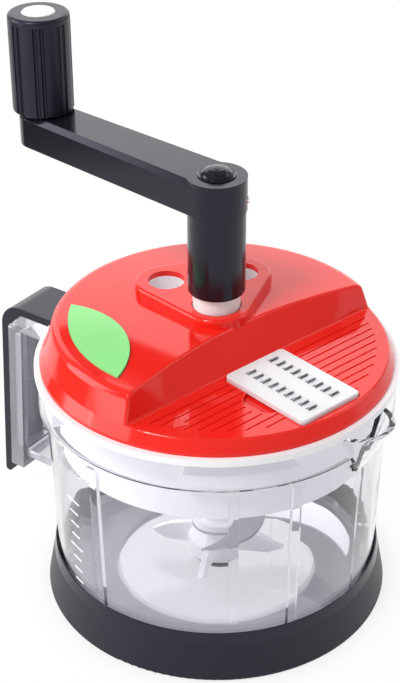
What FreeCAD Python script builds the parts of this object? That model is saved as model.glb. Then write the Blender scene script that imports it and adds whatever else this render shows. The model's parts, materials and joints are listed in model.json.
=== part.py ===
"""Hand-cranked food chopper: a clear bowl on a ring base, a lid with a gear train, a crank and
blades on a pivot pin. Millimetres, +Z up, origin on the bowl's axis at the base's underside,
+X from the bowl's axis away from its handle."""
import FreeCAD, Part
import math
import os
import Sketcher

V = FreeCAD.Vector
doc = FreeCAD.newDocument("crank_food_chopper")

# ---------------------------------------------------------------- driving dimensions

DIMENSIONS = [
    ("base_height", 22.0, "base ring, underside to rim"),
    ("base_foot_width", 5.0, "base ring's wall at the underside"),
    ("base_wall_width", 1.8, "base ring's wall below its sloping rim"),
    ("base_opening_radius", 44.0, "opening through the base's floor"),
    ("base_floor", 4.0, "base's floor, underside to top"),
    ("base_rim_width", 0.5, "flat top of the base's rim"),
    ("base_rim_height", 5.5, "sloping rim of the base ring"),
    ("base_edge_round", 0.9, "rounding of the base's underside edge"),
    ("seat_gap", 0.3, "gap between pieces that only rest on each other"),
    ("slip_gap", 0.5, "gap round pieces that slide past each other"),
    ("running_gap", 0.06, "radial clearance of a shaft in its bearing"),
    ("bowl_height", 103.0, "bowl, underside to rim"),
    ("bowl_foot_radius", 68.6, "bowl, outside at the bottom"),
    ("bowl_flare", 2.3, "bowl, how much wider it is below the collar than at the bottom"),
    ("bowl_collar_step", 3.1, "bowl's collar, how far it stands out"),
    ("bowl_collar_height", 14.3, "collar, ledge to rim"),
    ("bowl_wall", 2.2, "bowl's wall"),
    ("bowl_floor_thickness", 2.6, "bowl's floor"),
    ("bowl_corner", 2.4, "chamfer of the bowl's corners"),
    ("collar_slope", 2.0, "height of the slope under the collar"),
    ("rib_depth", 2.2, "inside ribs, how far they stand in"),
    ("rib_width", 3.8, "inside ribs, width"),
    ("spout_azimuth", -3.0, "direction of the pouring spout"),
    ("spout_length", 10.4, "spout's lip, beyond the collar"),
    ("spout_width", 30.0, "spout, width where it leaves the collar"),
    ("spout_height", 22.0, "spout, lip to its lower point"),
    ("spout_point", 0.25, "spout, its lower point as a share of its width"),
    ("boss_pivot_radius", 7.0, "boss round the pivot pin"),
    ("boss_pivot_flare", 1.5, "boss round the pivot pin, wider at its foot"),
    ("boss_pivot_height", 5.0, "boss round the pivot pin, above the floor"),
    ("pin_radius", 2.5, "pivot pin of the blades"),
    ("pin_length", 26.0, "pivot pin, whole length"),
    ("pin_bevel", 1.0, "pivot pin, bevel of its top"),
    ("handle_standoff", 39.3, "handle's outside at its foot, beyond the bowl's collar"),
    ("handle_lean", 5.3, "how far the handle leans out over its height"),
    ("handle_width", 23.4, "handle's width"),
    ("handle_tip_height", 12.6, "handle's lower tip, above the ground"),
    ("handle_top_gap", 2.3, "handle's top, below the rim"),
    ("handle_cover_thickness", 3.6, "handle's cover"),
    ("handle_corner", 11.0, "rounding of the cover's outer corner"),
    ("handle_leg", 7.4, "clear leg behind the cover"),
    ("handle_arm", 8.6, "clear arm below the cover"),
    ("handle_short", 5.0, "how much sooner the clear leg ends than the cover"),
    ("channel_depth", 5.0, "hollow in the clear leg"),
    ("channel_side", 3.6, "side walls of the hollow in the leg"),
    ("tongue_width", 9.0, "tongue of the handle's cover in the clear leg"),
    ("tongue_depth", 1.4, "tongue of the handle's cover, depth"),
    ("gusset_gap", 1.0, "clear web's lower edge, above the base's rim"),
    ("gusset_width", 18.0, "clear web from the leg's foot to the bowl, width"),
    ("gusset_height", 4.0, "clear web, height"),
    ("channel_floor", 1.0, "clear leg's hollow, above the web"),
    ("screw_radius", 1.5, "all screws, thread"),
    ("screw_head_radius", 2.9, "all screws, head"),
    ("screw_head_height", 1.8, "all screws, head"),
    ("screw_length", 5.0, "all screws, under the head"),
    ("screw_slot", 0.7, "all screws, width of the cross recess"),
    ("screw_clearance", 0.2, "holes round a screw's thread"),
    ("lid_turn", -12.5, "direction in which the lid's grater points"),
    ("flange_overhang", 0.8, "inner lid's flange, beyond the bowl's collar"),
    ("flange_thickness", 2.8, "inner lid's flange"),
    ("deck_thickness", 2.4, "inner lid's deck"),
    ("skirt_gap", 0.9, "inner lid's skirt, inside the bowl's ribs"),
    ("skirt_wall", 2.0, "inner lid's skirt"),
    ("skirt_depth", 30.4, "inner lid's skirt, below the flange's underside"),
    ("tab_clearance", 0.6, "locking tabs, inside the collar's wall"),
    ("tab_height", 5.6, "locking tabs, height"),
    ("tab_gap", 1.0, "locking tabs, above the collar's inner ledge"),
    ("tab_angle", 36.0, "locking tabs, arc"),
    ("tab_azimuth", -34.3, "first locking tab, from the lid's front"),
    ("well_depth", 18.4, "gear well, from the deck's top to the top of its floor"),
    ("well_floor", 2.6, "gear well's floor"),
    ("well_gap", 1.5, "gear well, round the ring gear"),
    ("well_wall", 1.8, "gear well's wall"),
    ("cover_inset", 2.3, "lid cover's lower edge, inside the flange's edge"),
    ("cover_wall", 2.4, "lid cover's wall"),
    ("cover_upright", 1.4, "lid cover's upright rim"),
    ("flat_rise", 6.6, "lid's lower flat, above the cover's edge"),
    ("flat_inset", 2.3, "lid's lower flat, inside the cover's lower edge"),
    ("dome_edge_rise", 17.0, "dome's rounded edge, above the cover's edge"),
    ("dome_inset", 6.1, "dome's rounded edge, inside the cover's lower edge"),
    ("dome_crown", 3.6, "dome's centre, above its rounded edge"),
    ("dome_round", 4.0, "dome's rounded edge"),
    ("cover_round", 1.3, "rounding along the step and the lower flat's edge"),
    ("step_foot", 22.4, "foot of the step at its ends, distance from the axis"),
    ("step_foot_bow", 0.3, "foot of the step, how much nearer the axis at its middle"),
    ("step_end", 20.0, "top of the step at its ends, distance from the axis"),
    ("step_middle", 13.3, "top of the step at its middle, distance from the axis"),
    ("step_half_length", 61.0, "half the step's length"),
    ("boss_height", 3.8, "raised boss, above the dome's centre"),
    ("boss_round", 1.4, "raised boss, rounding of its top edge"),
    ("boss_front_width", 4.35, "boss, round the column"),
    ("boss_ear_width", 5.45, "boss, round each feed hole"),
    ("feed_radius", 7.75, "feed holes"),
    ("chute_gap", 0.55, "feed chutes, clear of the column's foot"),
    ("feed_azimuth_a", 184.5, "first feed hole, from the lid's front"),
    ("feed_azimuth_b", 117.7, "second feed hole, from the lid's front"),
    ("chute_wall", 1.4, "feed chutes"),
    ("groove_start", 5.1, "first line on the lower flat, from the step's foot"),
    ("groove_end", 2.4, "last line on the lower flat, inside the lines' outer ends"),
    ("groove_count", 10, "lines on the lower flat"),
    ("groove_depth", 0.5, "lines on the lower flat, depth"),
    ("groove_width", 0.8, "lines on the lower flat, width"),
    ("groove_inset", 5.2, "outer ends of the lines, inside the flat's edge"),
    ("grater_start", 0.8, "grater plate, from the step's foot"),
    ("grater_margin", 1.4, "grater plate's outer corners, inside the flat's edge"),
    ("grater_width", 31.2, "grater plate, along the step"),
    ("grater_shift", -1.2, "grater plate's middle line, beside the lid's"),
    ("grater_thickness", 1.8, "grater plate, above the flat"),
    ("grater_corner", 2.0, "grater plate, corner rounding"),
    ("grater_round", 0.6, "grater plate, rounding of its top edge"),
    ("grater_seat", 0.8, "recess for the grater plate in the flat"),
    ("grater_plug", 2.0, "collar under the grater plate, depth"),
    ("grater_plug_inset", 1.6, "collar under the grater plate, inset"),
    ("grater_plug_wall", 1.2, "collar under the grater plate, wall"),
    ("window_start", 1.8, "opening under the grater, from the plate's inner edge"),
    ("window_inset", 4.3, "opening under the grater, inside the plate's sides"),
    ("window_margin", 1.0, "opening under the grater, inside the skirt"),
    ("tooth_count", 9, "teeth in a row"),
    ("tooth_margin", 10.3, "plate's length that a row of teeth leaves free"),
    ("tooth_length", 4.6, "teeth, across the row"),
    ("tooth_width", 2.2, "slot beside each tooth"),
    ("tooth_height", 1.3, "teeth, above the plate"),
    ("row_spacing", 13.1, "rows of teeth, one from the other"),
    ("row_middle", 0.2, "middle between the rows, from the plate's middle line"),
    ("teeth_start", 4.4, "first tooth of one row, from the plate's inner edge"),
    ("row_shift", 1.1, "how much farther out the other row starts"),
    ("blade_gap", 0.25, "grater's steel sheet and teeth, gap round them"),
    ("blade_sheet", 0.4, "grater's steel sheet"),
    ("notch_radius", 9.0, "finger notch beside the grater plate"),
    ("notch_inset", 2.0, "finger notch, its centre inside the plate's edge"),
    ("notch_depth", 1.7, "finger notch, depth"),
    ("leaf_inset", 6.4, "leaf inlay, inside the dome's rounded edge"),
    ("leaf_azimuth", -110.4, "leaf inlay's middle, from the lid's front"),
    ("leaf_angle", 59.0, "leaf inlay, arc of its outer edge"),
    ("leaf_bulge", 12.8, "leaf inlay, bulge of its inner edge"),
    ("leaf_height", 0.7, "leaf inlay, above the dome"),
    ("leaf_gap", 0.15, "leaf inlay, gap round it"),
    ("leaf_depth", 1.0, "leaf inlay, below the dome"),
    ("cover_post_radius", 3.4, "posts that take the lid's screws"),
    ("post_inset", 1.0, "posts that take the lid's screws, how far they reach into the shell"),
    ("cover_post_gap", 6.6, "posts that take the lid's screws, inside the skirt"),
    ("column_radius", 9.65, "white column round the drive shaft"),
    ("column_bore", 7.0, "white column's bore"),
    ("column_inset", 6.0, "white column's top, below the crank arm"),
    ("column_foot", 2.4, "foot plate of the column"),
    ("column_foot_overlap", 0.56, "foot plate of the column, beyond the gear well"),
    ("ear_reach", 2.8, "screws of the column's foot, beyond its foot plate"),
    ("ear_radius", 3.6, "ears of the column's foot"),
    ("ear_floor", 1.4, "under the screw holes of the column's foot"),
    ("column_flare", 2.5, "cone between the column and its foot"),
    ("gear_module", 0.65, "gears, module"),
    ("gear_teeth", 5, "teeth of the sun and the planets, in a third of a turn"),
    ("gear_width", 6.0, "gears, face width"),
    ("gear_backlash", 0.12, "gears, thinning of each flank"),
    ("ring_rim", 1.3, "ring gear, rim outside the teeth"),
    ("ring_hub", 3.0, "ring gear, hub round the shaft"),
    ("ring_web", 2.4, "ring gear, web above the teeth"),
    ("gear_floor_gap", 1.2, "gears, above the floor of the well"),
    ("planet_pin_radius", 1.5, "planet pins"),
    ("planet_pin_seat", 0.7, "planet pins, part of the well's floor they go into"),
    ("shaft_radius", 4.0, "drive shaft"),
    ("shaft_across", 6.6, "square end of the drive shaft, across its flats"),
    ("shaft_square", 11.0, "square end of the drive shaft, length"),
    ("bush_radius", 6.4, "bushes, outside"),
    ("bush_length", 7.0, "bushes, length"),
    ("bush_flange", 1.0, "bushes, flange thickness"),
    ("bush_rim", 1.6, "bushes, flange beyond the tube"),
    ("bush_wall", 2.0, "output bush, wall"),
    ("output_radius", 3.0, "output shaft"),
    ("socket_radius", 6.4, "drive socket of the output shaft"),
    ("socket_length", 9.5, "drive socket, length"),
    ("socket_web", 1.0, "drive socket, between its square and the shaft"),
    ("drive_across", 6.0, "square tip of the blade column, across its flats"),
    ("drive_tip", 6.0, "square tip of the blade column, length"),
    ("drive_gap", 0.3, "square tip in its socket, gap each side"),
    ("sleeve_gap", 6.6, "column showing below the crank's sleeve"),
    ("sleeve_wall", 1.87, "crank's sleeve, wall"),
    ("sleeve_length", 36.2, "crank's sleeve"),
    ("sleeve_clearance", 0.08, "crank's sleeve round the column"),
    ("arm_length", 96.8, "crank, axis to grip"),
    ("arm_thickness", 14.2, "crank arm"),
    ("arm_hub_step", 0.45, "crank arm round the shaft, beyond the sleeve"),
    ("arm_tip_radius", 10.4, "crank arm under the grip"),
    ("arm_bevel", 2.0, "crank arm, bevel of its top edge"),
    ("arm_azimuth", 173.8, "crank arm's direction at rest"),
    ("cap_ring_radius", 7.7, "hub cap's ring"),
    ("cap_ring_width", 1.3, "hub cap's ring, round its dome"),
    ("cap_dome_height", 3.4, "hub cap's dome"),
    ("cap_ring_height", 0.9, "hub cap's ring, above the arm"),
    ("cross_pin_radius", 1.6, "cross pin through arm and shaft"),
    ("cross_pin_proud", 0.7, "cross pin, ends outside the hub"),
    ("cross_pin_height", 4.4, "cross pin, above the hub's underside"),
    ("cross_pin_azimuth", -142.2, "cross pin's outer end, from the arm's direction"),
    ("grip_gap", 0.8, "gap between the arm and the grip"),
    ("grip_length", 41.6, "grip"),
    ("grip_radius", 12.8, "grip, over its lands"),
    ("grip_round", 1.6, "grip, rounding of its top edge"),
    ("grip_flute_end", 3.0, "grip, flutes end below its top"),
    ("grip_flute", 0.9, "grip, depth of its flutes"),
    ("grip_flute_width", 1.7, "grip, width of a flute"),
    ("grip_flute_pairs", 8, "grip, pairs of flutes"),
    ("grip_flute_spacing", 13.0, "grip, angle between the flutes of a pair"),
    ("grip_pin_radius", 3.5, "grip's spindle"),
    ("grip_pin_head", 6.0, "grip's spindle, head"),
    ("grip_head_height", 2.4, "grip's spindle, height of its head"),
    ("grip_pin_floor", 2.0, "arm under the grip's spindle"),
    ("grip_cap_ledge", 0.4, "white cap in the grip's top, round the room for the spindle"),
    ("grip_cap_proud", 0.4, "white cap, above the grip's top"),
    ("grip_cap_thickness", 2.0, "white cap in the grip's top"),
    ("grip_pocket", 9.0, "pocket in the grip for the spindle's head"),
    ("blade_hub_radius", 7.4, "blade column"),
    ("blade_foot_radius", 12.0, "foot of the blade column"),
    ("blade_foot_height", 14.0, "foot of the blade column"),
    ("blade_thickness", 1.0, "steel blades"),
    ("blade_reach", 60.0, "lowest blade's tip, from the axis"),
    ("blade_width", 14.0, "lowest blade, width at its middle"),
    ("blade_bow", 27.5, "lowest blade, how far its outer edge bows out beside the tip"),
    ("blade_spacing", 20.0, "steel blades, one above the other"),
    ("blade_eye", 3.2, "steel blades, ring round the column"),
    ("collar_height", 2.6, "collars over the steel blades"),
    ("collar_wall", 2.6, "collars over the steel blades, wall"),
    ("paddle_reach", 29.0, "white paddles, from the axis"),
    ("paddle_gap", 1.0, "white paddles, above the foot of the blade column"),
    ("paddle_top_gap", 0.6, "white paddles, below the lowest blade"),
    ("paddle_thickness", 2.4, "white paddles"),
]

RIB_AZIMUTHS = (-99.5, -49.0, -27.7, 52.0, 102.5)
COVER_SCREW_AZIMUTHS = (45.0, 140.0, 205.0, 315.0)
PLANETS = 3
PADDLE_AZIMUTH = 22.0
PADDLES = 4
BLADES = (
    ("lower_blade", 10.0, 1.0),
    ("middle_blade", 298.0, 0.78),
    ("upper_blade", 130.0, 0.8),
)
PRESSURE_ANGLE = math.radians(20.0)


class Size:
    """A number together with the spreadsheet expression that gives it."""

    def __init__(self, value, text):
        self.value = value
        self.text = text

    def __float__(self):
        return float(self.value)

    def __add__(self, other):
        return Size(float(self) + float(other), "({} + {})".format(self.text, words(other)))

    def __radd__(self, other):
        return Size(float(other) + float(self), "({} + {})".format(words(other), self.text))

    def __sub__(self, other):
        return Size(float(self) - float(other), "({} - {})".format(self.text, words(other)))

    def __rsub__(self, other):
        return Size(float(other) - float(self), "({} - {})".format(words(other), self.text))

    def __mul__(self, other):
        return Size(float(self) * float(other), "({} * {})".format(self.text, words(other)))

    def __rmul__(self, other):
        return self * other

    def __truediv__(self, other):
        return Size(float(self) / float(other), "({} / {})".format(self.text, words(other)))

    def __neg__(self):
        return Size(-float(self), "(0 - {})".format(self.text))


def words(value):
    """The expression text of a Size or of a plain number."""
    return value.text if isinstance(value, Size) else "({!r})".format(float(value))


def cosine(angle):
    """Cosine of an angle in degrees."""
    return Size(math.cos(math.radians(float(angle))), "cos({})".format(words(angle)))


def sine(angle):
    """Sine of an angle in degrees."""
    return Size(math.sin(math.radians(float(angle))), "sin({})".format(words(angle)))


def root(value):
    """Square root."""
    return Size(math.sqrt(float(value)), "sqrt({})".format(words(value)))


def arctangent(value):
    """Angle in degrees whose tangent is a value."""
    return Size(math.degrees(math.atan(float(value))), "(atan({}) / (1 deg))".format(words(value)))


def polar(distance, azimuth):
    """Coordinates of a point at a distance and a direction from the vertical axis."""
    return cosine(azimuth) * distance, sine(azimuth) * distance


class Sizes:
    """The spreadsheet's driving dimensions, read by their aliases."""

    def __init__(self, rows):
        self.sheet = doc.addObject("Spreadsheet::Sheet", "Sizes")
        for row, (alias, value, note) in enumerate(rows, start=1):
            self.sheet.set("A{}".format(row), note)
            self.sheet.set("B{}".format(row), repr(value))
            self.sheet.setAlias("B{}".format(row), alias)
        doc.recompute()

    def __getattr__(self, alias):
        return Size(float(self.sheet.get(alias)), "Sizes.{}".format(alias))

    def count(self, alias):
        return int(self.sheet.get(alias))


d = Sizes(DIMENSIONS)

# ---------------------------------------------------------------- radii and counts that follow

shoulder_radius = d.bowl_foot_radius + d.bowl_flare
collar_radius = shoulder_radius + d.bowl_collar_step
spout_reach = collar_radius + d.spout_length
handle_reach = collar_radius + d.handle_standoff
flange_radius = collar_radius + d.flange_overhang
tab_radius = collar_radius - d.bowl_wall - d.tab_clearance
skirt_radius = shoulder_radius - d.bowl_wall - d.rib_depth - d.skirt_gap
skirt_inside = skirt_radius - d.skirt_wall
cover_radius = flange_radius - d.cover_inset
flat_radius = cover_radius - d.flat_inset
dome_edge_radius = cover_radius - d.dome_inset
leaf_radius = dome_edge_radius - d.leaf_inset
groove_radius = flat_radius - d.groove_inset
post_distance = skirt_inside - d.cover_post_gap

planet_teeth = 3 * d.count("gear_teeth")
sun_teeth = planet_teeth
ring_teeth = sun_teeth + 2 * planet_teeth
planet_orbit = d.gear_module * (sun_teeth + planet_teeth) / 2
ring_outside = d.gear_module * (ring_teeth / 2 + 1.25) + d.ring_rim
well_radius = ring_outside + d.well_gap
column_foot_radius = well_radius + d.column_foot_overlap
ear_distance = column_foot_radius + d.ear_reach
feed_distance = column_foot_radius + d.chute_gap + d.chute_wall + d.feed_radius
boss_front_radius = d.column_radius + d.boss_front_width
boss_ear_radius = d.feed_radius + d.boss_ear_width
sleeve_radius = d.column_radius + d.sleeve_clearance + d.sleeve_wall
arm_hub_radius = sleeve_radius + d.arm_hub_step
cap_dome_radius = d.cap_ring_radius - d.cap_ring_width
grip_cap_radius = d.grip_pin_head + d.slip_gap + d.grip_cap_ledge

plate_start = d.step_foot + d.grater_start
plate_end = root((flat_radius - d.grater_margin) * (flat_radius - d.grater_margin)
                 - d.grater_width * d.grater_width / 4)
plate_length = plate_end - plate_start
plate_centre = (plate_start + plate_end) / 2
tooth_pitch = (plate_length - d.tooth_margin) / (d.count("tooth_count") - 1)
first_groove = d.step_foot + d.groove_start
groove_pitch = (groove_radius - d.groove_end - first_groove) / (d.count("groove_count") - 1)
window_width = d.grater_width - d.window_inset * 2
window_low = plate_start + d.window_start
window_high = root((skirt_inside - d.window_margin) * (skirt_inside - d.window_margin)
                   - window_width * window_width / 4)

# ---------------------------------------------------------------- heights that follow

bowl_bottom = d.base_floor + d.seat_gap
bowl_inside = bowl_bottom + d.bowl_floor_thickness
rim_z = bowl_bottom + d.bowl_height
ledge_z = rim_z - d.bowl_collar_height
flange_z = rim_z + d.seat_gap
deck_z = flange_z + d.flange_thickness
under_deck = deck_z - d.deck_thickness
flat_z = deck_z + d.flat_rise
dome_edge_z = deck_z + d.dome_edge_rise
dome_z = dome_edge_z + d.dome_crown
dome_drop = d.dome_crown * 2 / 3
boss_z = dome_z + d.boss_height
well_z = deck_z - d.well_depth
well_bottom = well_z - d.well_floor
gear_z = well_z + d.gear_floor_gap
gear_top = gear_z + d.gear_width
ring_top = gear_top + d.ring_web + d.seat_gap
foot_top = deck_z + d.column_foot
sleeve_z = boss_z + d.sleeve_gap
hub_z = sleeve_z + d.sleeve_length
column_top = hub_z - d.column_inset
arm_top = hub_z + d.arm_thickness
shaft_top = arm_top - d.cap_ring_height - d.seat_gap
square_z = shaft_top - d.shaft_square
grip_z = arm_top + d.grip_gap
grip_top = grip_z + d.grip_length
socket_z = well_bottom - d.seat_gap - d.socket_length
socket_roof = socket_z + d.drive_tip + d.seat_gap * 2
blade_floor = bowl_inside + d.boss_pivot_height + d.seat_gap
pin_bottom = bowl_inside - d.bowl_floor_thickness / 2
plate_bottom = flat_z - d.grater_seat + d.seat_gap
plate_top = flat_z + d.grater_thickness

# ---------------------------------------------------------------- bodies and sketches


def plane_of(body, role):
    """One of the body's own origin planes or axes."""
    return next(item for item in body.Origin.OriginFeatures if item.Role == role)


def place(item, turn=0.0, centre=(0.0, 0.0), height=0.0):
    """Turn an object about the vertical and move it, bound to the sheet."""
    base = V(float(centre[0]), float(centre[1]), float(height))
    item.Placement = FreeCAD.Placement(base, FreeCAD.Rotation(V(0, 0, 1), float(turn)))
    if isinstance(turn, Size):
        item.setExpression("Placement.Rotation.Angle", turn.text)
    for axis, value in zip("xyz", (centre[0], centre[1], height)):
        if isinstance(value, Size):
            item.setExpression("Placement.Base." + axis, value.text)
    return item


def new_body(label, turn=0.0, centre=(0.0, 0.0)):
    """An empty PartDesign body, turned about the vertical and set down at a centre."""
    body = doc.addObject("PartDesign::Body", label)
    body.Label = label
    return place(body, turn, centre)


def new_sketch(body, role, name, offset=0.0, turn=0.0):
    """A sketch on a body's origin plane, moved along its normal and turned about the vertical."""
    sketch = body.newObject("Sketcher::SketchObject", name)
    sketch.AttachmentSupport = [(plane_of(body, role), "")]
    sketch.MapMode = "FlatFace"
    upright = V(0, 0, 1) if role == "XY_Plane" else V(0, 1, 0)
    sketch.AttachmentOffset = FreeCAD.Placement(
        V(0, 0, float(offset)), FreeCAD.Rotation(upright, float(turn)))
    if isinstance(offset, Size):
        sketch.setExpression(".AttachmentOffset.Base.z", offset.text)
    if isinstance(turn, Size):
        sketch.setExpression(".AttachmentOffset.Rotation.Angle", turn.text)
    return sketch


def flat_sketch(height):
    """A level sketch that belongs to no body."""
    return place(doc.addObject("Sketcher::SketchObject", "outline"), height=height)


def side_sketch():
    """An upright sketch in the XZ plane that belongs to no body."""
    sketch = doc.addObject("Sketcher::SketchObject", "profile")
    sketch.Placement = FreeCAD.Placement(V(0, 0, 0), FreeCAD.Rotation(V(1, 0, 0), 90))
    return sketch


def hold(sketch, kind, geometry, point, size):
    """Hold one coordinate of a sketch's point at a size from the sheet."""
    if abs(float(size)) < 1e-9:
        axis = -2 if kind == "DistanceX" else -1
        sketch.addConstraint(Sketcher.Constraint("PointOnObject", geometry, point, axis))
        return
    index = sketch.addConstraint(
        Sketcher.Constraint(kind, -1, 1, geometry, point, float(size)))
    sketch.setExpression("Constraints[{}]".format(index), words(size))


def hold_radius(sketch, geometry, radius):
    """Hold a circle's or an arc's radius at a size from the sheet."""
    index = sketch.addConstraint(Sketcher.Constraint("Radius", geometry, float(radius)))
    sketch.setExpression("Constraints[{}]".format(index), words(radius))


def circle(sketch, centre_x, centre_y, radius):
    """A circle whose centre and radius are sizes from the sheet."""
    index = sketch.addGeometry(Part.Circle(
        V(float(centre_x), float(centre_y), 0), V(0, 0, 1), float(radius)), False)
    hold(sketch, "DistanceX", index, 3, centre_x)
    hold(sketch, "DistanceY", index, 3, centre_y)
    hold_radius(sketch, index, radius)


def contour(sketch, nodes):
    """A closed outline; a node of four numbers starts an arc through its second point."""
    ends = []
    count = len(nodes)
    for index, node in enumerate(nodes):
        following = nodes[(index + 1) % count]
        start = V(float(node[0]), float(node[1]), 0)
        stop = V(float(following[0]), float(following[1]), 0)
        if len(node) == 2:
            piece = sketch.addGeometry(Part.LineSegment(start, stop), False)
            ends.append((piece, 1, 2))
            continue
        through = V(float(node[2]), float(node[3]), 0)
        anticlockwise = (through - start).cross(stop - through).z > 0
        piece = sketch.addGeometry(Part.Arc(start, through, stop), False)
        ends.append((piece, 1, 2) if anticlockwise else (piece, 2, 1))
        mark = sketch.addGeometry(Part.Point(through), True)
        hold(sketch, "DistanceX", mark, 1, node[2])
        hold(sketch, "DistanceY", mark, 1, node[3])
        sketch.addConstraint(Sketcher.Constraint("PointOnObject", mark, 1, piece))
    for index in range(count):
        piece, _, last = ends[index]
        following, first, _ = ends[(index + 1) % count]
        sketch.addConstraint(Sketcher.Constraint("Coincident", piece, last, following, first))
    for node, (piece, first, _) in zip(nodes, ends):
        hold(sketch, "DistanceX", piece, first, node[0])
        hold(sketch, "DistanceY", piece, first, node[1])


def belt(sketch, circles):
    """A belt round circles, given anticlockwise as (x, y, radius)."""
    leaving = []
    touches = []
    for index, (x, y, radius) in enumerate(circles):
        next_x, next_y, next_radius = circles[(index + 1) % len(circles)]
        centre = V(float(x), float(y), 0)
        next_centre = V(float(next_x), float(next_y), 0)
        along = next_centre - centre
        lean = math.acos((float(radius) - float(next_radius)) / along.Length)
        direction = math.atan2(along.y, along.x) - lean
        outward = V(math.cos(direction), math.sin(direction), 0)
        leaving.append(direction)
        touches.append((centre + outward * float(radius), next_centre + outward * float(next_radius)))
    arcs = []
    for index, (x, y, radius) in enumerate(circles):
        first = leaving[index - 1]
        last = leaving[index]
        while last <= first:
            last += 2 * math.pi
        ring = Part.Circle(V(float(x), float(y), 0), V(0, 0, 1), float(radius))
        arcs.append(sketch.addGeometry(Part.ArcOfCircle(ring, first, last), False))
    lines = [sketch.addGeometry(Part.LineSegment(*pair), False) for pair in touches]
    for index in range(len(circles)):
        following = arcs[(index + 1) % len(circles)]
        sketch.addConstraint(Sketcher.Constraint("Tangent", arcs[index], 2, lines[index], 1))
        sketch.addConstraint(Sketcher.Constraint("Tangent", lines[index], 2, following, 1))
    for arc, (x, y, radius) in zip(arcs, circles):
        hold(sketch, "DistanceX", arc, 3, x)
        hold(sketch, "DistanceY", arc, 3, y)
        hold_radius(sketch, arc, radius)


def plate_corners(length, width, corner, centre_x):
    """Corner circles of a rounded plate round the grater's middle line."""
    reach_x = length / 2 - corner
    left = d.grater_shift + width / 2 - corner
    right = d.grater_shift - width / 2 + corner
    return [(centre_x + reach_x, right, corner), (centre_x + reach_x, left, corner),
            (centre_x - reach_x, left, corner), (centre_x - reach_x, right, corner)]


def rectangle(x0, x1, y0, y1):
    """Corners of a rectangle."""
    return [(x0, y0), (x1, y0), (x1, y1), (x0, y1)]


# ---------------------------------------------------------------- features of a body


def revolution(body, name, corners, groove=False, angle=None, turn=0.0):
    """A turned solid, or a turned cut, about the vertical axis from (radius, height) corners."""
    sketch = new_sketch(body, "XZ_Plane", name + "_profile", turn=turn)
    contour(sketch, corners)
    kind = "PartDesign::Groove" if groove else "PartDesign::Revolution"
    feature = body.newObject(kind, name)
    feature.Profile = sketch
    feature.ReferenceAxis = (sketch, ["V_Axis"])
    feature.Angle = 360.0
    if angle is not None:
        feature.Midplane = True
        feature.setExpression("Angle", words(angle))
    return feature


def pad(body, name, sketch, length, symmetric=False, backwards=False):
    """A pad from a sketch, as long as a size from the sheet."""
    feature = body.newObject("PartDesign::Pad", name)
    feature.Profile = sketch
    feature.Midplane = symmetric
    feature.Reversed = backwards
    feature.setExpression("Length", words(length))
    return feature


def pocket(body, name, sketch, length, symmetric=False, backwards=False):
    """A pocket from a sketch, as deep as a size from the sheet."""
    feature = body.newObject("PartDesign::Pocket", name)
    feature.Profile = sketch
    feature.Midplane = symmetric
    feature.Reversed = backwards
    feature.setExpression("Length", words(length))
    return feature


def round_pocket(body, name, centres, radius, top, depth):
    """Round holes downwards from a height."""
    sketch = new_sketch(body, "XY_Plane", name + "_outline", top)
    for x, y in centres:
        circle(sketch, x, y, radius)
    return pocket(body, name, sketch, depth)


def dressed(body, kind, name, base, size, wanted):
    """Fillet or chamfer the edges of base that wanted(edge) picks."""
    doc.recompute()
    names = ["Edge{}".format(number)
             for number, edge in enumerate(base.Shape.Edges, start=1) if wanted(edge)]
    feature = body.newObject("PartDesign::" + kind, name)
    feature.Base = (base, names)
    feature.setExpression("Radius" if kind == "Fillet" else "Size", words(size))
    return feature


def round_edges(body, name, base, size, wanted):
    """Round some edges."""
    return dressed(body, "Fillet", name, base, size, wanted)


def bevel_edges(body, name, base, size, wanted):
    """Bevel some edges."""
    return dressed(body, "Chamfer", name, base, size, wanted)


def ring_edge(radius, height):
    """A test for a circle of this radius at this height."""
    def wanted(edge):
        curve = edge.Curve
        return (isinstance(curve, Part.Circle) and abs(curve.Radius - float(radius)) < 1e-3
                and abs(curve.Center.z - float(height)) < 1e-3)
    return wanted


def level_edge(height):
    """A test for any edge that lies level at this height."""
    def wanted(edge):
        box = edge.BoundBox
        return abs(box.ZMin - float(height)) < 1e-3 and abs(box.ZMax - float(height)) < 1e-3
    return wanted


def repeated_round(body, name, original, count):
    """The feature repeated evenly about the body's vertical axis."""
    doc.recompute()
    feature = body.newObject("PartDesign::PolarPattern", name)
    feature.Originals = [original]
    feature.Axis = (plane_of(body, "Z_Axis"), [""])
    feature.Angle = 360.0
    feature.Occurrences = count
    body.Tip = feature
    return feature


def repeated_along(body, name, original, length, count):
    """The feature repeated evenly along the body's X axis."""
    doc.recompute()
    feature = body.newObject("PartDesign::LinearPattern", name)
    feature.Originals = [original]
    feature.Direction = (plane_of(body, "X_Axis"), [""])
    feature.setExpression("Length", words(length))
    feature.Occurrences = count
    body.Tip = feature
    return feature


# ---------------------------------------------------------------- solids outside bodies


class Made:
    """An object of the document that other solids can be cut from or joined to."""

    def __init__(self, item):
        self.item = item

    def combined(self, kind, others):
        result = doc.addObject(kind, kind.split("::")[1].lower())
        result.Shapes = [self.item] + [other.item for other in others]
        return Made(result)

    def fuse(self, *others):
        return self.combined("Part::MultiFuse", others)

    def common(self, *others):
        return self.combined("Part::MultiCommon", others)

    def cut(self, other):
        result = doc.addObject("Part::Cut", "cut")
        result.Base = self.item
        result.Tool = other.item
        return Made(result)


def group(pieces):
    """Separate solids as one object."""
    result = doc.addObject("Part::Compound", "group")
    result.Links = [piece.item for piece in pieces]
    return Made(result)


def cylinder(radius, bottom, top, centre=(0.0, 0.0)):
    """An upright cylinder between two heights."""
    item = doc.addObject("Part::Cylinder", "cylinder")
    item.setExpression("Radius", words(radius))
    item.setExpression("Height", words(top - bottom))
    return Made(place(item, centre=centre, height=bottom))


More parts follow.
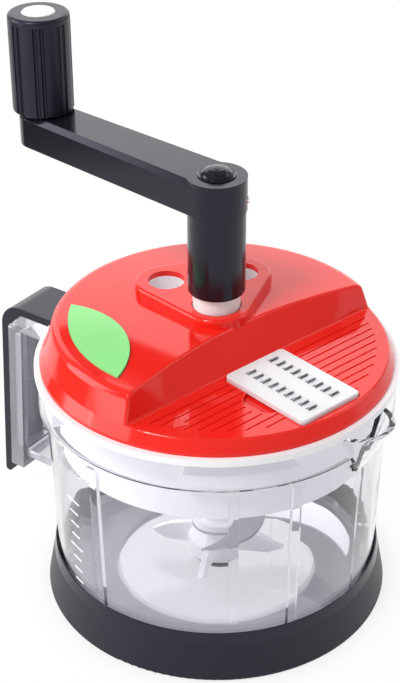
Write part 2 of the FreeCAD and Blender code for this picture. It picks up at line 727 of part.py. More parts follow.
def block(x0, x1, y0, y1, z0, z1):
    """A box between two corners."""
    item = doc.addObject("Part::Box", "block")
    item.setExpression("Length", words(x1 - x0))
    item.setExpression("Width", words(y1 - y0))
    item.setExpression("Height", words(z1 - z0))
    return Made(place(item, centre=(x0, y0), height=z0))


def extruded(sketch, length):
    """A sketch or a face pulled upwards into a solid."""
    item = doc.addObject("Part::Extrusion", "extrusion")
    item.Base = sketch
    item.DirMode = "Custom"
    item.Dir = V(0, 0, 1)
    item.setExpression("LengthFwd", words(length))
    item.Solid = True
    return Made(item)


def revolved(corners):
    """A solid turned about the vertical axis from (radius, height) corners."""
    sketch = side_sketch()
    contour(sketch, corners)
    item = doc.addObject("Part::Revolution", "revolution")
    item.Source = sketch
    item.Axis = V(0, 0, 1)
    item.Base = V(0, 0, 0)
    item.Angle = 360.0
    item.Solid = True
    return Made(item)


def lofted(sketches):
    """A ruled solid between two outlines."""
    item = doc.addObject("Part::Loft", "loft")
    item.Sections = sketches
    item.Solid = True
    item.Ruled = True
    return Made(item)


def named(label, made, turn=0.0, centre=(0.0, 0.0), refine=False):
    """A finished sub-part: its name and its place."""
    made.item.Label = label
    if refine:
        made.item.Refine = True
    return place(made.item, turn, centre)


def screw(x, y, z, direction):
    """One pan-head screw with a cross recess; x, y, z is the middle of its head's underside."""
    head = d.screw_head_radius
    high = d.screw_head_height
    whole = revolved([
        (0, -high), (head * 0.7, -high), (head, -high * 0.5), (head, 0),
        (d.screw_radius, 0), (d.screw_radius, d.screw_length), (0, d.screw_length)])
    reach = head * 0.6
    half = d.screw_slot / 2
    whole = whole.cut(block(-reach, reach, -half, half, -high, -high * 0.5))
    whole = whole.cut(block(-half, half, -reach, reach, -high, -high * 0.5))
    place(whole.item, centre=(x, y), height=z)
    whole.item.Placement = FreeCAD.Placement(
        V(float(x), float(y), float(z)), FreeCAD.Rotation(V(0, 0, 1), direction))
    return whole


# ---------------------------------------------------------------- base


def make_base_ring():
    """Non-slip ring base: a flat floor with a wide opening and a wall round the bowl's foot."""
    body = new_body("base_ring")
    inner = d.bowl_foot_radius + d.slip_gap
    inner_top = inner + d.bowl_flare * d.base_height / d.bowl_height
    outer = inner + d.base_wall_width
    foot = inner + d.base_foot_width
    ring = revolution(body, "ring", [
        (d.base_opening_radius, 0),
        (foot, 0),
        (outer, d.base_height - d.base_rim_height),
        (inner_top + d.base_rim_width, d.base_height),
        (inner_top, d.base_height),
        (inner, d.base_floor),
        (d.base_opening_radius, d.base_floor)])
    round_edges(body, "foot_round", ring, d.base_edge_round, ring_edge(foot, 0))
    return body


# ---------------------------------------------------------------- bowl and handle


def bowl_radius_at(height):
    """Outside radius of the bowl's tapered wall at a height."""
    rise = ledge_z - d.collar_slope - bowl_bottom
    return d.bowl_foot_radius + d.bowl_flare * (height - bowl_bottom) / rise


handle_top = rim_z - d.handle_top_gap
handle_tip = d.handle_tip_height
frame_top = handle_top - d.handle_cover_thickness
frame_tip = handle_tip + d.handle_short
leg_inset = d.handle_cover_thickness + d.handle_leg
web_low = d.base_height + d.gusset_gap
channel_low = web_low + d.gusset_height + d.channel_floor
channel_top = frame_top - d.handle_arm - d.channel_side


def handle_line(height, inset):
    """Distance of the handle's outside from the axis at a height, less an inset."""
    return handle_reach - inset - d.handle_lean * (height - handle_tip) / (handle_top - handle_tip)


def make_bowl():
    """Clear bowl: tapered wall, collar, spout, inside ribs, pivot boss and the handle's frame."""
    body = new_body("bowl")
    revolution(body, "outside", [
        (0, bowl_bottom),
        (d.bowl_foot_radius - d.bowl_corner, bowl_bottom),
        (d.bowl_foot_radius, bowl_bottom + d.bowl_corner),
        (shoulder_radius, ledge_z - d.collar_slope),
        (collar_radius, ledge_z),
        (collar_radius, rim_z),
        (0, rim_z)])
    add_handle_frame(body)
    spout_loft(body, "spout", 0.0)
    revolution(body, "inside", [
        (0, bowl_inside),
        (d.bowl_foot_radius - d.bowl_wall - d.bowl_corner, bowl_inside),
        (bowl_radius_at(bowl_inside + d.bowl_corner) - d.bowl_wall, bowl_inside + d.bowl_corner),
        (shoulder_radius - d.bowl_wall, ledge_z),
        (collar_radius - d.bowl_wall, ledge_z + d.collar_slope),
        (collar_radius - d.bowl_wall, rim_z + 1.0),
        (0, rim_z + 1.0)], groove=True)
    spout_loft(body, "spout_channel", d.bowl_wall)
    revolution(body, "pivot_boss", [
        (0, pin_bottom),
        (d.boss_pivot_radius + d.boss_pivot_flare, pin_bottom),
        (d.boss_pivot_radius, bowl_inside + d.boss_pivot_height),
        (0, bowl_inside + d.boss_pivot_height)])
    round_pocket(body, "pin_hole", [(0, 0)], d.pin_radius, bowl_inside + d.boss_pivot_height,
                 bowl_inside + d.boss_pivot_height - pin_bottom)
    for number, azimuth in enumerate(RIB_AZIMUTHS, start=1):
        add_rib(body, number, azimuth)
    return body


def add_handle_frame(body):
    """The clear part of the handle: arm, hollow leg, web to the bowl and groove for its cover."""
    corner = d.handle_corner - d.handle_cover_thickness
    cover = d.handle_cover_thickness
    wall = bowl_radius_at(frame_top) - d.bowl_wall / 2
    frame = new_sketch(body, "XZ_Plane", "handle_profile")
    contour(frame, [
        (-wall, frame_top),
        (-(handle_line(frame_top, cover) - corner), frame_top),
        (-handle_line(frame_top - corner, cover), frame_top - corner),
        (-handle_line(frame_tip, cover), frame_tip),
        (-handle_line(frame_tip, leg_inset), frame_tip),
        (-handle_line(frame_top - d.handle_arm, leg_inset), frame_top - d.handle_arm),
        (-wall, frame_top - d.handle_arm)])
    pad(body, "handle_frame", frame, d.handle_width, symmetric=True)
    inside_wall = d.bowl_foot_radius - d.bowl_wall / 2
    in_leg = handle_line(frame_tip, leg_inset - 1.0)
    web = new_sketch(body, "XZ_Plane", "web_profile")
    contour(web, rectangle(-in_leg, -inside_wall, web_low, web_low + d.gusset_height))
    pad(body, "web", web, d.gusset_width, symmetric=True)
    channel = new_sketch(body, "XZ_Plane", "channel_profile")
    contour(channel, [
        (-(handle_line(channel_top, leg_inset) - 1.0), channel_top),
        (-(handle_line(channel_top, leg_inset) + d.channel_depth), channel_top),
        (-(handle_line(channel_low, leg_inset) + d.channel_depth), channel_low),
        (-(handle_line(channel_low, leg_inset) - 1.0), channel_low)])
    pocket(body, "leg_channel", channel, d.handle_width - d.channel_side * 2, symmetric=True)
    pocket(body, "tongue_groove", tongue_sketch(body), d.tongue_width, symmetric=True)


def tongue_sketch(body):
    """Side view of the tongue that holds the handle's cover in the clear leg."""
    sketch = new_sketch(body, "XZ_Plane", "tongue_profile")
    outer = d.handle_cover_thickness - 1.0
    inner = d.handle_cover_thickness + d.tongue_depth
    contour(sketch, [
        (-handle_line(channel_low, outer), channel_low),
        (-handle_line(channel_low, inner), channel_low),
        (-handle_line(channel_top, inner), channel_top),
        (-handle_line(channel_top, outer), channel_top)])
    return sketch


def spout_loft(body, name, inset):
    """The spout's solid, or with an inset the cut inside it: a round lip that narrows downwards."""
    hollow = isinstance(inset, Size)
    radius = d.spout_width / 2
    top = rim_z + (d.seat_gap if hollow else 0.0)
    turn = d.spout_azimuth
    lip = new_sketch(body, "XY_Plane", name + "_lip", top, turn)
    circle(lip, spout_reach - radius, 0.0, radius - inset)
    point = new_sketch(body, "XY_Plane", name + "_point", rim_z - d.spout_height + inset, turn)
    circle(point, shoulder_radius - d.bowl_wall, 0.0, (radius - inset) * d.spout_point)
    kind = "PartDesign::SubtractiveLoft" if hollow else "PartDesign::AdditiveLoft"
    loft = body.newObject(kind, name)
    loft.Profile = lip
    loft.Sections = [point]
    return loft


def add_rib(body, number, azimuth):
    """One upright rib on the inside of the bowl's wall."""
    name = "rib_{}".format(number)
    sketch = new_sketch(body, "XZ_Plane", name + "_profile", turn=azimuth)
    low = bowl_inside + d.bowl_corner
    high = ledge_z - d.collar_slope
    inset = d.bowl_wall + d.rib_depth
    contour(sketch, [
        (bowl_radius_at(low) - inset, low),
        (bowl_radius_at(low) - d.bowl_wall / 2, low),
        (bowl_radius_at(high) - d.bowl_wall / 2, high),
        (bowl_radius_at(high) - inset, high - d.rib_depth)])
    pad(body, name, sketch, d.rib_width, symmetric=True)


def make_pivot_pin():
    """Steel pin in the floor of the bowl, on which the blades turn."""
    body = new_body("pivot_pin")
    revolution(body, "pin", [
        (0, pin_bottom),
        (d.pin_radius, pin_bottom),
        (d.pin_radius, pin_bottom + d.pin_length - d.pin_bevel),
        (d.pin_radius - d.pin_bevel, pin_bottom + d.pin_length),
        (0, pin_bottom + d.pin_length)])
    return body


def make_handle_cover():
    """Black strip over the top and the outside of the handle, held by a tongue."""
    body = new_body("handle_cover")
    cover = d.handle_cover_thickness
    corner = d.handle_corner - cover
    sketch = new_sketch(body, "XZ_Plane", "cover_profile")
    root_x = -(collar_radius + d.slip_gap)
    contour(sketch, [
        (root_x, handle_top),
        (-handle_line(handle_top, 0.0), handle_top),
        (-handle_line(handle_tip, 0.0), handle_tip),
        (-handle_line(handle_tip, cover), handle_tip),
        (-handle_line(frame_top - corner, cover), frame_top - corner),
        (-(handle_line(frame_top, cover) - corner), frame_top),
        (root_x, frame_top)])
    strip = pad(body, "strip", sketch, d.handle_width, symmetric=True)
    corner_x = -float(handle_line(handle_top, 0.0))

    def outer_corner(edge):
        middle = edge.CenterOfMass
        return abs(middle.x - corner_x) < 1e-3 and abs(middle.z - float(handle_top)) < 1e-3

    def tip_corner(edge):
        middle = edge.CenterOfMass
        return abs(middle.y) < 1e-3 and abs(middle.z - float(handle_tip)) < 1e-3

    rounded = round_edges(body, "corner_round", strip, d.handle_corner, outer_corner)
    round_edges(body, "tip_round", rounded, cover * 0.42, tip_corner)
    pad(body, "tongue", tongue_sketch(body), d.tongue_width, symmetric=True)
    return body


# ---------------------------------------------------------------- inner lid


def feed_centres():
    """Centres of the two feed holes, in the lid's own directions."""
    return [polar(feed_distance, azimuth) for azimuth in (d.feed_azimuth_b, d.feed_azimuth_a)]


def ear_centres():
    """Screw places of the column's foot."""
    azimuths = (d.feed_azimuth_b - 45.0, d.feed_azimuth_a + 40.0, d.feed_azimuth_a + 110.0)
    return [polar(ear_distance, azimuth) for azimuth in azimuths]


def post_centres():
    """Screw places of the lid's cover."""
    return [polar(post_distance, azimuth) for azimuth in COVER_SCREW_AZIMUTHS]


def planet_centres():
    """Centres of the planet gears in the lid's own directions."""
    return [polar(planet_orbit, number * 360.0 / PLANETS) for number in range(PLANETS)]


def make_inner_lid():
    """White inner lid: flange, deck, skirt with locking tabs, feed chutes and the gear well."""
    body = new_body("inner_lid", d.lid_turn)
    skirt_low = flange_z - d.skirt_depth
    well_out = well_radius + d.well_wall
    bush = d.output_radius + d.bush_wall
    revolution(body, "shell", [
        (bush, well_bottom),
        (well_out, well_bottom),
        (well_out, under_deck),
        (skirt_inside, under_deck),
        (skirt_inside, skirt_low),
        (skirt_radius, skirt_low),
        (skirt_radius, flange_z),
        (flange_radius, flange_z),
        (flange_radius, deck_z),
        (well_radius, deck_z),
        (well_radius, well_z),
        (bush, well_z)])
    tab_low = ledge_z + d.collar_slope + d.tab_gap
    tab = revolution(body, "tab", [
        (skirt_radius - d.skirt_wall / 2, tab_low),
        (tab_radius, tab_low),
        (tab_radius, tab_low + d.tab_height),
        (skirt_radius - d.skirt_wall / 2, tab_low + d.tab_height)],
        angle=d.tab_angle, turn=d.tab_azimuth)
    repeated_round(body, "tabs", tab, 4)
    chutes = new_sketch(body, "XY_Plane", "chutes_outline", under_deck)
    for x, y in feed_centres():
        circle(chutes, x, y, d.feed_radius + d.chute_wall)
    pad(body, "chutes", chutes, boss_z - d.cover_wall - under_deck)
    round_pocket(body, "feed_holes", feed_centres(), d.feed_radius, boss_z, boss_z - under_deck + 1.0)
    depth = d.screw_length - d.column_foot + d.seat_gap
    ears = new_sketch(body, "XY_Plane", "ears_outline", deck_z - depth - d.ear_floor)
    for x, y in ear_centres():
        circle(ears, x, y, d.ear_radius)
    pad(body, "ears", ears, depth + d.ear_floor)
    round_pocket(body, "well_again", [(0, 0)], well_radius, deck_z + 1.0, d.well_depth + 1.0)
    round_pocket(body, "ear_holes", ear_centres(), d.screw_radius, deck_z, depth)
    round_pocket(body, "post_holes", post_centres(), d.screw_radius + d.screw_clearance, deck_z,
                 d.deck_thickness + 1.0)
    round_pocket(body, "pin_holes", planet_centres(), d.planet_pin_radius, well_z,
                 d.well_floor * d.planet_pin_seat)
    window = new_sketch(body, "XY_Plane", "window_outline", deck_z)
    belt(window, plate_corners(window_high - window_low, window_width, d.grater_corner,
                               (window_low + window_high) / 2))
    pocket(body, "window", window, d.deck_thickness + 1.0)
    return body


def make_lid_screws():
    """Four screws from below, through the deck into the cover's posts."""
    screws = [screw(x, y, under_deck, V(0, 0, 1)) for x, y in post_centres()]
    return named("lid_screws", group(screws), d.lid_turn)


# ---------------------------------------------------------------- lid cover


def dome(inset):
    """The cover's full dome, drawn inwards by an inset: rim, side, rounded edge and shallow crown."""
    low = deck_z - 1.0 if float(inset) else deck_z
    corner_x = dome_edge_radius
    corner_z = dome_z - dome_drop
    side = arctangent((flat_radius - corner_x) / (corner_z - flat_z))
    slope = arctangent(dome_drop / corner_x) * 2
    turn = (90.0 - slope - side) / 2
    reach = d.dome_round * sine(turn) / cosine(turn)
    centre_x = corner_x + reach * sine(side) - d.dome_round * cosine(side)
    centre_z = corner_z - reach * cosine(side) - d.dome_round * sine(side)
    radius = d.dome_round - inset
    crown_start = centre_x + radius * sine(slope)
    crown_end_z = centre_z + radius * cosine(slope)
    rise = dome_z - inset - crown_end_z
    return revolved([
        (0, low),
        (cover_radius - inset, low),
        (cover_radius - inset, deck_z + d.cover_upright),
        (flat_radius - inset, flat_z - inset * 0.3),
        (centre_x + radius * cosine(side), centre_z + radius * sine(side),
         centre_x + radius * cosine(side + turn), centre_z + radius * sine(side + turn)),
        (crown_start, crown_end_z,
         crown_start / 2, dome_z - inset - rise / 4),
        (0, dome_z - inset)])


def front(inset):
    """What the step and the lower flat take off the dome: a sloped, bowed wall and a flat."""
    wide = d.step_half_length * 1.25
    spread = (wide / d.step_half_length) * (wide / d.step_half_length)
    far = cover_radius + 10.0
    outlines = []
    for height in (flat_z - inset, boss_z + 4.0):
        share = (height - flat_z) / (dome_z - flat_z)
        middle = d.step_foot - d.step_foot_bow + (d.step_middle - d.step_foot + d.step_foot_bow) * share
        end = d.step_foot + (d.step_end - d.step_foot) * share
        wing = middle + (end - middle) * spread
        outline = flat_sketch(height)
        contour(outline, [
            (wing - inset, -wide, middle - inset, 0.0),
            (wing - inset, wide),
            (far, wide),
            (far, -wide)])
        outlines.append(outline)
    return lofted(outlines)


def rounded_outside(solid):
    """The cover's outside with the step's edges and the lower flat's edge rounded."""
    body = new_body("cover_solid")
    body.BaseFeature = solid.item
    doc.recompute()
    on_flat = level_edge(flat_z)

    def wanted(edge):
        box = edge.BoundBox
        on_step = box.ZMax > float(flat_z) + 0.01 and box.XMin > float(d.step_middle) - 1.0
        return on_step or on_flat(edge)

    round_edges(body, "cover_round", body.Group[0], d.cover_round, wanted)
    return Made(body)


def boss_circles(inset):
    """Belt round the column and the two feed holes, drawn inwards by an inset."""
    ears = [(x, y, boss_ear_radius - inset) for x, y in feed_centres()]
    return [(0, 0, boss_front_radius - inset)] + ears


def make_boss():
    """The raised boss, rounded along its top edge."""
    body = new_body("boss_solid")
    sketch = new_sketch(body, "XY_Plane", "boss_outline", dome_edge_z)
    belt(sketch, boss_circles(0.0))
    solid = pad(body, "boss", sketch, boss_z - dome_edge_z)
    round_edges(body, "boss_round", solid, d.boss_round, level_edge(boss_z))
    return Made(body)


def window_solid(inset, low, high):
    """Upright solid on the grater plate's outline, smaller by an inset all round."""
    sketch = flat_sketch(low)
    belt(sketch, plate_corners(plate_length - inset * 2, d.grater_width - inset * 2,
                               d.grater_corner - inset / 2, plate_centre))
    return extruded(sketch, high - low)


def leaf_solid(grow):
    """Upright solid on the leaf inlay's outline: an arc near the dome's edge, a rounder inside."""
    radius = leaf_radius + grow
    half = d.leaf_angle / 2 + grow * 3.0
    tip_x, tip_y = polar(radius, half)
    sketch = flat_sketch(deck_z)
    contour(sketch, [
        (tip_x, -tip_y, radius, 0.0),
        (tip_x, tip_y, tip_x - d.leaf_bulge - grow, 0.0)])
    leaf = extruded(sketch, boss_z - deck_z)
    return Made(place(leaf.item, d.leaf_azimuth))


def finger_notch(margin):
    """Half-round dip in the flat beside the grater plate."""
    centre = (plate_centre, d.grater_shift + d.notch_inset - d.grater_width / 2)
    return cylinder(d.notch_radius + margin, flat_z - d.notch_depth, boss_z, centre)


def groove_lines():
    """Fine lines across the lower flat, parallel to the step, clear of the grater's seat."""
    margin = 0.6
    half_width = d.groove_width / 2
    lines = []
    for number in range(d.count("groove_count")):
        middle = first_groove + groove_pitch * number
        half = root(groove_radius * groove_radius - middle * middle)
        lines.append(block(middle - half_width, middle + half_width, -half, half,
                           flat_z - d.groove_depth, flat_z + 3.0))
    around = window_solid(-(d.slip_gap + margin), deck_z, boss_z)
    return group(lines).cut(around).cut(finger_notch(margin))


def make_lid_cover():
    """Red cover: dome, step and lower flat in one shell, with the boss, its holes and recesses."""
    outside = rounded_outside(dome(0.0).cut(front(0.0)))
    inside = dome(d.cover_wall).cut(front(d.cover_wall))
    hollow_sketch = flat_sketch(deck_z - 1.0)
    belt(hollow_sketch, boss_circles(d.cover_wall))
    hollow = extruded(hollow_sketch, boss_z - d.cover_wall - deck_z + 1.0)
    shape = outside.fuse(make_boss()).cut(inside).cut(hollow)
    post_room = dome(d.post_inset).cut(front(d.post_inset))
    posts = group([cylinder(d.cover_post_radius, deck_z, boss_z, centre)
                   for centre in post_centres()])
    shape = shape.fuse(posts.common(post_room))
    screw_tip = under_deck + d.screw_length + d.seat_gap
    holes = [cylinder(d.screw_radius, deck_z - 1.0, screw_tip, centre) for centre in post_centres()]
    holes += [cylinder(d.feed_radius, deck_z, boss_z + 1.0, centre) for centre in feed_centres()]
    holes.append(cylinder(d.column_radius + d.slip_gap, deck_z, boss_z + 1.0))
    shape = shape.cut(group(holes))
    shape = shape.cut(window_solid(d.grater_plug_inset - d.slip_gap, deck_z, boss_z))
    shape = shape.cut(window_solid(-d.slip_gap, flat_z - d.grater_seat, boss_z))
    shape = shape.cut(finger_notch(0.0)).cut(groove_lines())
    shape = shape.cut(leaf_solid(d.leaf_gap).cut(dome(d.leaf_depth)))
    return named("lid_cover", shape, d.lid_turn, refine=True)


def make_leaf_inlay():
    """Green leaf-shaped inlay in the dome."""
    leaf = leaf_solid(Size(0.0, "0")).common(dome(-d.leaf_height)).cut(dome(d.leaf_depth))
    return named("leaf_inlay", leaf, d.lid_turn, refine=True)


# ---------------------------------------------------------------- grater


def tooth_rows():
    """First tooth of each row as (x, y); the rows run away from the step."""
    span = tooth_pitch * (d.count("tooth_count") - 1)
    start = plate_start + d.teeth_start
    middle = d.grater_shift + d.row_middle
    near = (start + d.row_shift, middle - d.row_spacing / 2)
    far = (start, middle + d.row_spacing / 2)
    return [near, far], span


def make_grater_plate():
    """White plate with a collar under it and a slot for each tooth."""
    body = new_body("grater_plate", d.lid_turn)
    outline = new_sketch(body, "XY_Plane", "plate_outline", plate_bottom)
    belt(outline, plate_corners(plate_length, d.grater_width, d.grater_corner, plate_centre))
    plate = pad(body, "plate", outline, plate_top - plate_bottom)
    round_edges(body, "plate_round", plate, d.grater_round, level_edge(plate_top))
    inset = d.grater_plug_inset
    plug = new_sketch(body, "XY_Plane", "plug_outline", plate_bottom - d.grater_plug)
    belt(plug, plate_corners(plate_length - inset * 2, d.grater_width - inset * 2,
                             d.grater_corner - inset / 2, plate_centre))
    pad(body, "plug", plug, d.grater_plug + 0.5)
    inset = inset + d.grater_plug_wall
    hollow = new_sketch(body, "XY_Plane", "hollow_outline", plate_bottom)
    belt(hollow, plate_corners(plate_length - inset * 2, d.grater_width - inset * 2,
                               d.grater_corner - inset / 2, plate_centre))
    pocket(body, "hollow", hollow, d.grater_plug + 1.0)
    rows, span = tooth_rows()
    slots = new_sketch(body, "XY_Plane", "slots_outline", plate_top + 1.0)
    for x, y in rows:
        contour(slots, rectangle(x - d.tooth_width / 2, x + d.tooth_width / 2,
                                 y - d.tooth_length / 2, y + d.tooth_length / 2))
    slot = pocket(body, "slot", slots, plate_top - plate_bottom + 2.0)
    repeated_along(body, "slots", slot, span, d.count("tooth_count"))
    return body


def make_grater_blade():
    """Thin steel sheet under the plate, with slanted teeth that stand through its slots."""
    body = new_body("grater_blade", d.lid_turn)
    inset = d.grater_plug_inset + d.grater_plug_wall + d.blade_gap
    outline = new_sketch(body, "XY_Plane", "sheet_outline", plate_bottom - d.blade_sheet)
    belt(outline, plate_corners(plate_length - inset * 2, d.grater_width - inset * 2,
                                d.grater_corner - inset / 2, plate_centre))
    pad(body, "sheet", outline, d.blade_sheet)
    rows, span = tooth_rows()
    count = d.count("tooth_count")
    half = d.tooth_length / 2 - d.blade_gap
    reach = d.tooth_width / 2 - d.blade_gap
    gaps = new_sketch(body, "XY_Plane", "gaps_outline", plate_bottom)
    for x, y in rows:
        contour(gaps, rectangle(x - reach, x + reach, y - half, y + half))
    gap = pocket(body, "gap", gaps, d.blade_sheet + 1.0)
    repeated_along(body, "gaps", gap, span, count)
    low = plate_bottom - d.blade_sheet
    high = plate_top + d.tooth_height
    for number, (x, y) in enumerate(rows, start=1):
        name = "tooth_{}".format(number)
        profile = new_sketch(body, "XZ_Plane", name + "_profile", offset=-y)
        contour(profile, [
            (x - reach - d.blade_sheet, low), (x - reach + d.blade_sheet, low),
            (x + reach, high), (x + reach - d.blade_sheet, high)])
        tooth = pad(body, name, profile, half * 2, symmetric=True)
        repeated_along(body, "teeth_{}".format(number), tooth, span, count)
    return body


# ---------------------------------------------------------------- column and drive


def make_column():
    """White column: a foot plate screwed over the gear well and a tube for the drive shaft."""
    body = new_body("column", d.lid_turn)
    flare = d.column_flare
    revolution(body, "tube", [
        (d.bush_radius, deck_z),
        (column_foot_radius, deck_z),
        (column_foot_radius, foot_top),
        (d.column_radius + flare, foot_top),
        (d.column_radius, foot_top + flare),
        (d.column_radius, column_top),
        (d.bush_radius, column_top),
        (d.bush_radius, column_top - d.bush_length),
        (d.column_bore, column_top - d.bush_length),
        (d.column_bore, deck_z + d.bush_length),
        (d.bush_radius, deck_z + d.bush_length)])
    for number, (x, y) in enumerate(ear_centres(), start=1):
        ear = new_sketch(body, "XY_Plane", "ear_{}_outline".format(number), deck_z)
        share = 0.65
        belt(ear, [(x * share, y * share, d.ear_radius * 1.4), (x, y, d.ear_radius)])
        pad(body, "ear_{}".format(number), ear, d.column_foot)
    round_pocket(body, "screw_holes", ear_centres(), d.screw_radius + d.screw_clearance,
                 foot_top, d.column_foot + 1.0)
    return body


def make_column_screws():
    """Three screws that hold the column's foot on the inner lid."""
    screws = [screw(x, y, foot_top, V(0, 0, -1)) for x, y in ear_centres()]
    return named("column_screws", group(screws), d.lid_turn)


def make_lower_bush():
    """Flanged bush that carries the drive shaft in the column's foot."""
    body = new_body("lower_bush")
    bore = d.shaft_radius + d.running_gap
    wide = d.bush_radius + d.bush_rim
    revolution(body, "bush", [
        (bore, deck_z - d.bush_flange),
        (wide, deck_z - d.bush_flange),
        (wide, deck_z),
        (d.bush_radius, deck_z),
        (d.bush_radius, deck_z + d.bush_length),
        (bore, deck_z + d.bush_length)])
    return body


def make_upper_bush():
    """Flanged bush that carries the drive shaft in the column's top."""
    body = new_body("upper_bush")
    bore = d.shaft_radius + d.running_gap
    wide = d.bush_radius + d.bush_rim
    revolution(body, "bush", [
        (bore, column_top - d.bush_length),
        (d.bush_radius, column_top - d.bush_length),
        (d.bush_radius, column_top),
        (wide, column_top),
        (wide, column_top + d.bush_flange),
        (bore, column_top + d.bush_flange)])
    return body


def make_drive_shaft():
    """Steel drive shaft: round in its bushes, square where the crank takes it."""
    body = new_body("drive_shaft", d.arm_azimuth)
    low = gear_top + d.seat_gap
    revolution(body, "shaft", [
        (0, low), (d.shaft_radius, low), (d.shaft_radius, square_z), (0, square_z)])
    side = d.shaft_across / 2
    near = root(d.shaft_radius * d.shaft_radius - side * side)
    round_corner = d.shaft_radius * math.sqrt(0.5)
    end = new_sketch(body, "XY_Plane", "square_outline", square_z)
    contour(end, [
        (side, -near), (side, near, round_corner, round_corner),
        (near, side), (-near, side, -round_corner, round_corner),
        (-side, near), (-side, -near, -round_corner, -round_corner),
        (-near, -side), (near, -side, round_corner, -round_corner)])
    pad(body, "square_end", end, d.shaft_square)
    cross_pin_hole(body)
    return body


def cross_pin_hole(body):
    """Hole for the cross pin: open beside the hub, blind inside the arm."""
    sketch = new_sketch(body, "XZ_Plane", "pin_hole_outline", turn=d.cross_pin_azimuth + 90.0)
    circle(sketch, 0, hub_z + d.cross_pin_height, d.cross_pin_radius)
    return pocket(body, "pin_hole", sketch, (arm_hub_radius + 2.0) * 2, symmetric=True)


# ---------------------------------------------------------------- gears


def involute_flank(base, tip, foot, lean):
    """Points of one flank from foot to tip; lean is its angle where it leaves the base circle."""
    start = max(base, foot)
    steps = 4
    points = []
    for step in range(steps + 1):
        radius = start + (tip - start) * step / steps
        roll = math.sqrt(max(0.0, (radius / base) ** 2 - 1.0))
        points.append((radius, lean - (roll - math.atan(roll))))
    if foot < base:
        points.insert(0, (foot, lean))
    return points


def gear_face(label, teeth, addendum, dedendum, thinning, height):
    """Outline of a spur gear with a tooth on the X axis."""
    pitch = teeth * float(d.gear_module) / 2
    base = pitch * math.cos(PRESSURE_ANGLE)
    half_tooth = math.pi / (2 * teeth) - thinning / pitch
    spread = half_tooth + math.tan(PRESSURE_ANGLE) - PRESSURE_ANGLE
    flank = involute_flank(base, pitch + addendum, pitch - dedendum, spread)
    points = []
    for tooth in range(teeth):
        middle = 2 * math.pi * tooth / teeth
        points += [(radius, middle - angle) for radius, angle in flank]
        points += [(radius, middle + angle) for radius, angle in reversed(flank)]
    corners = [V(radius * math.cos(angle), radius * math.sin(angle), 0) for radius, angle in points]
    outline = doc.addObject("Part::Feature", label)
    outline.Shape = Part.Face(Part.makePolygon(corners + [corners[0]]))
    return place(outline, height=height)


def spur_gear(label, teeth):
    """A spur gear of the train, as wide as its face width."""
    module = float(d.gear_module)
    face = gear_face(label, teeth, module, module * 1.25, float(d.gear_backlash), gear_z)
    return extruded(face, d.gear_width)


def make_ring_gear():
    """Ring gear on the drive shaft: teeth inside, a web above and a hub round the shaft."""
    module = float(d.gear_module)
    face = gear_face("ring_outline", ring_teeth, module * 1.25, module * 0.9,
                     -float(d.gear_backlash), gear_z)
    spaces = extruded(face, d.gear_width + d.seat_gap)
    hub = cylinder(d.shaft_radius + d.ring_hub, ring_top - 0.5, deck_z - d.bush_flange - d.seat_gap)
    shape = cylinder(ring_outside, gear_z, ring_top).cut(spaces).fuse(hub)
    shape = shape.cut(cylinder(d.shaft_radius, gear_z, deck_z))
    return named("ring_gear", shape, d.lid_turn)


def make_planet_gear(number):
    """One planet gear, in mesh with the sun and the ring."""
    gear = spur_gear("planet_outline", planet_teeth)
    gear = gear.cut(cylinder(d.planet_pin_radius + d.running_gap, gear_z - 1.0, gear_top + 1.0))
    turn = d.lid_turn + number * 360.0 / PLANETS
    return named("planet_gear_" + "abc"[number], gear, turn, polar(planet_orbit, turn))


def make_planet_pins():
    """Steel pins that carry the planet gears, pressed into the floor of the well."""
    low = well_z - d.well_floor * d.planet_pin_seat
    pins = [cylinder(d.planet_pin_radius, low, gear_top, centre) for centre in planet_centres()]
    return named("planet_pins", group(pins), d.lid_turn)


def make_sun_gear():
    """Sun gear and its output shaft in one piece."""
    gear = spur_gear("sun_outline", sun_teeth)
    shaft = cylinder(d.output_radius, socket_roof + d.socket_web, gear_z)
    half_tooth = 0.0 if planet_teeth % 2 else 180.0 / sun_teeth
    return named("sun_gear", gear.fuse(shaft), d.lid_turn + half_tooth)


def make_drive_socket():
    """White socket pressed on the output shaft, square inside for the blade column's tip."""
    body = new_body("drive_socket", d.lid_turn)
    socket_top = socket_z + d.socket_length
    revolution(body, "socket", [
        (0, socket_z),
        (d.socket_radius, socket_z),
        (d.socket_radius, socket_top),
        (d.output_radius, socket_top),
        (d.output_radius, socket_roof + d.socket_web),
        (0, socket_roof + d.socket_web)])
    half = d.drive_across / 2 + d.drive_gap
    hole = new_sketch(body, "XY_Plane", "square_outline", socket_roof)
    contour(hole, rectangle(-half, half, -half, half))
    pocket(body, "square", hole, d.drive_tip + 2.0)
    return body


def make_output_bush():
    """Bush in the floor of the gear well, round the output shaft."""
    body = new_body("output_bush")
    bore = d.output_radius + d.running_gap
    outer = d.output_radius + d.bush_wall
    revolution(body, "bush", [
        (bore, well_bottom),
        (outer, well_bottom),
        (outer, well_z + d.gear_floor_gap / 2),
        (bore, well_z + d.gear_floor_gap / 2)])
    return body


# ---------------------------------------------------------------- crank


def arm_tip():
    """Centre of the grip's spindle."""
    return polar(d.arm_length, d.arm_azimuth)


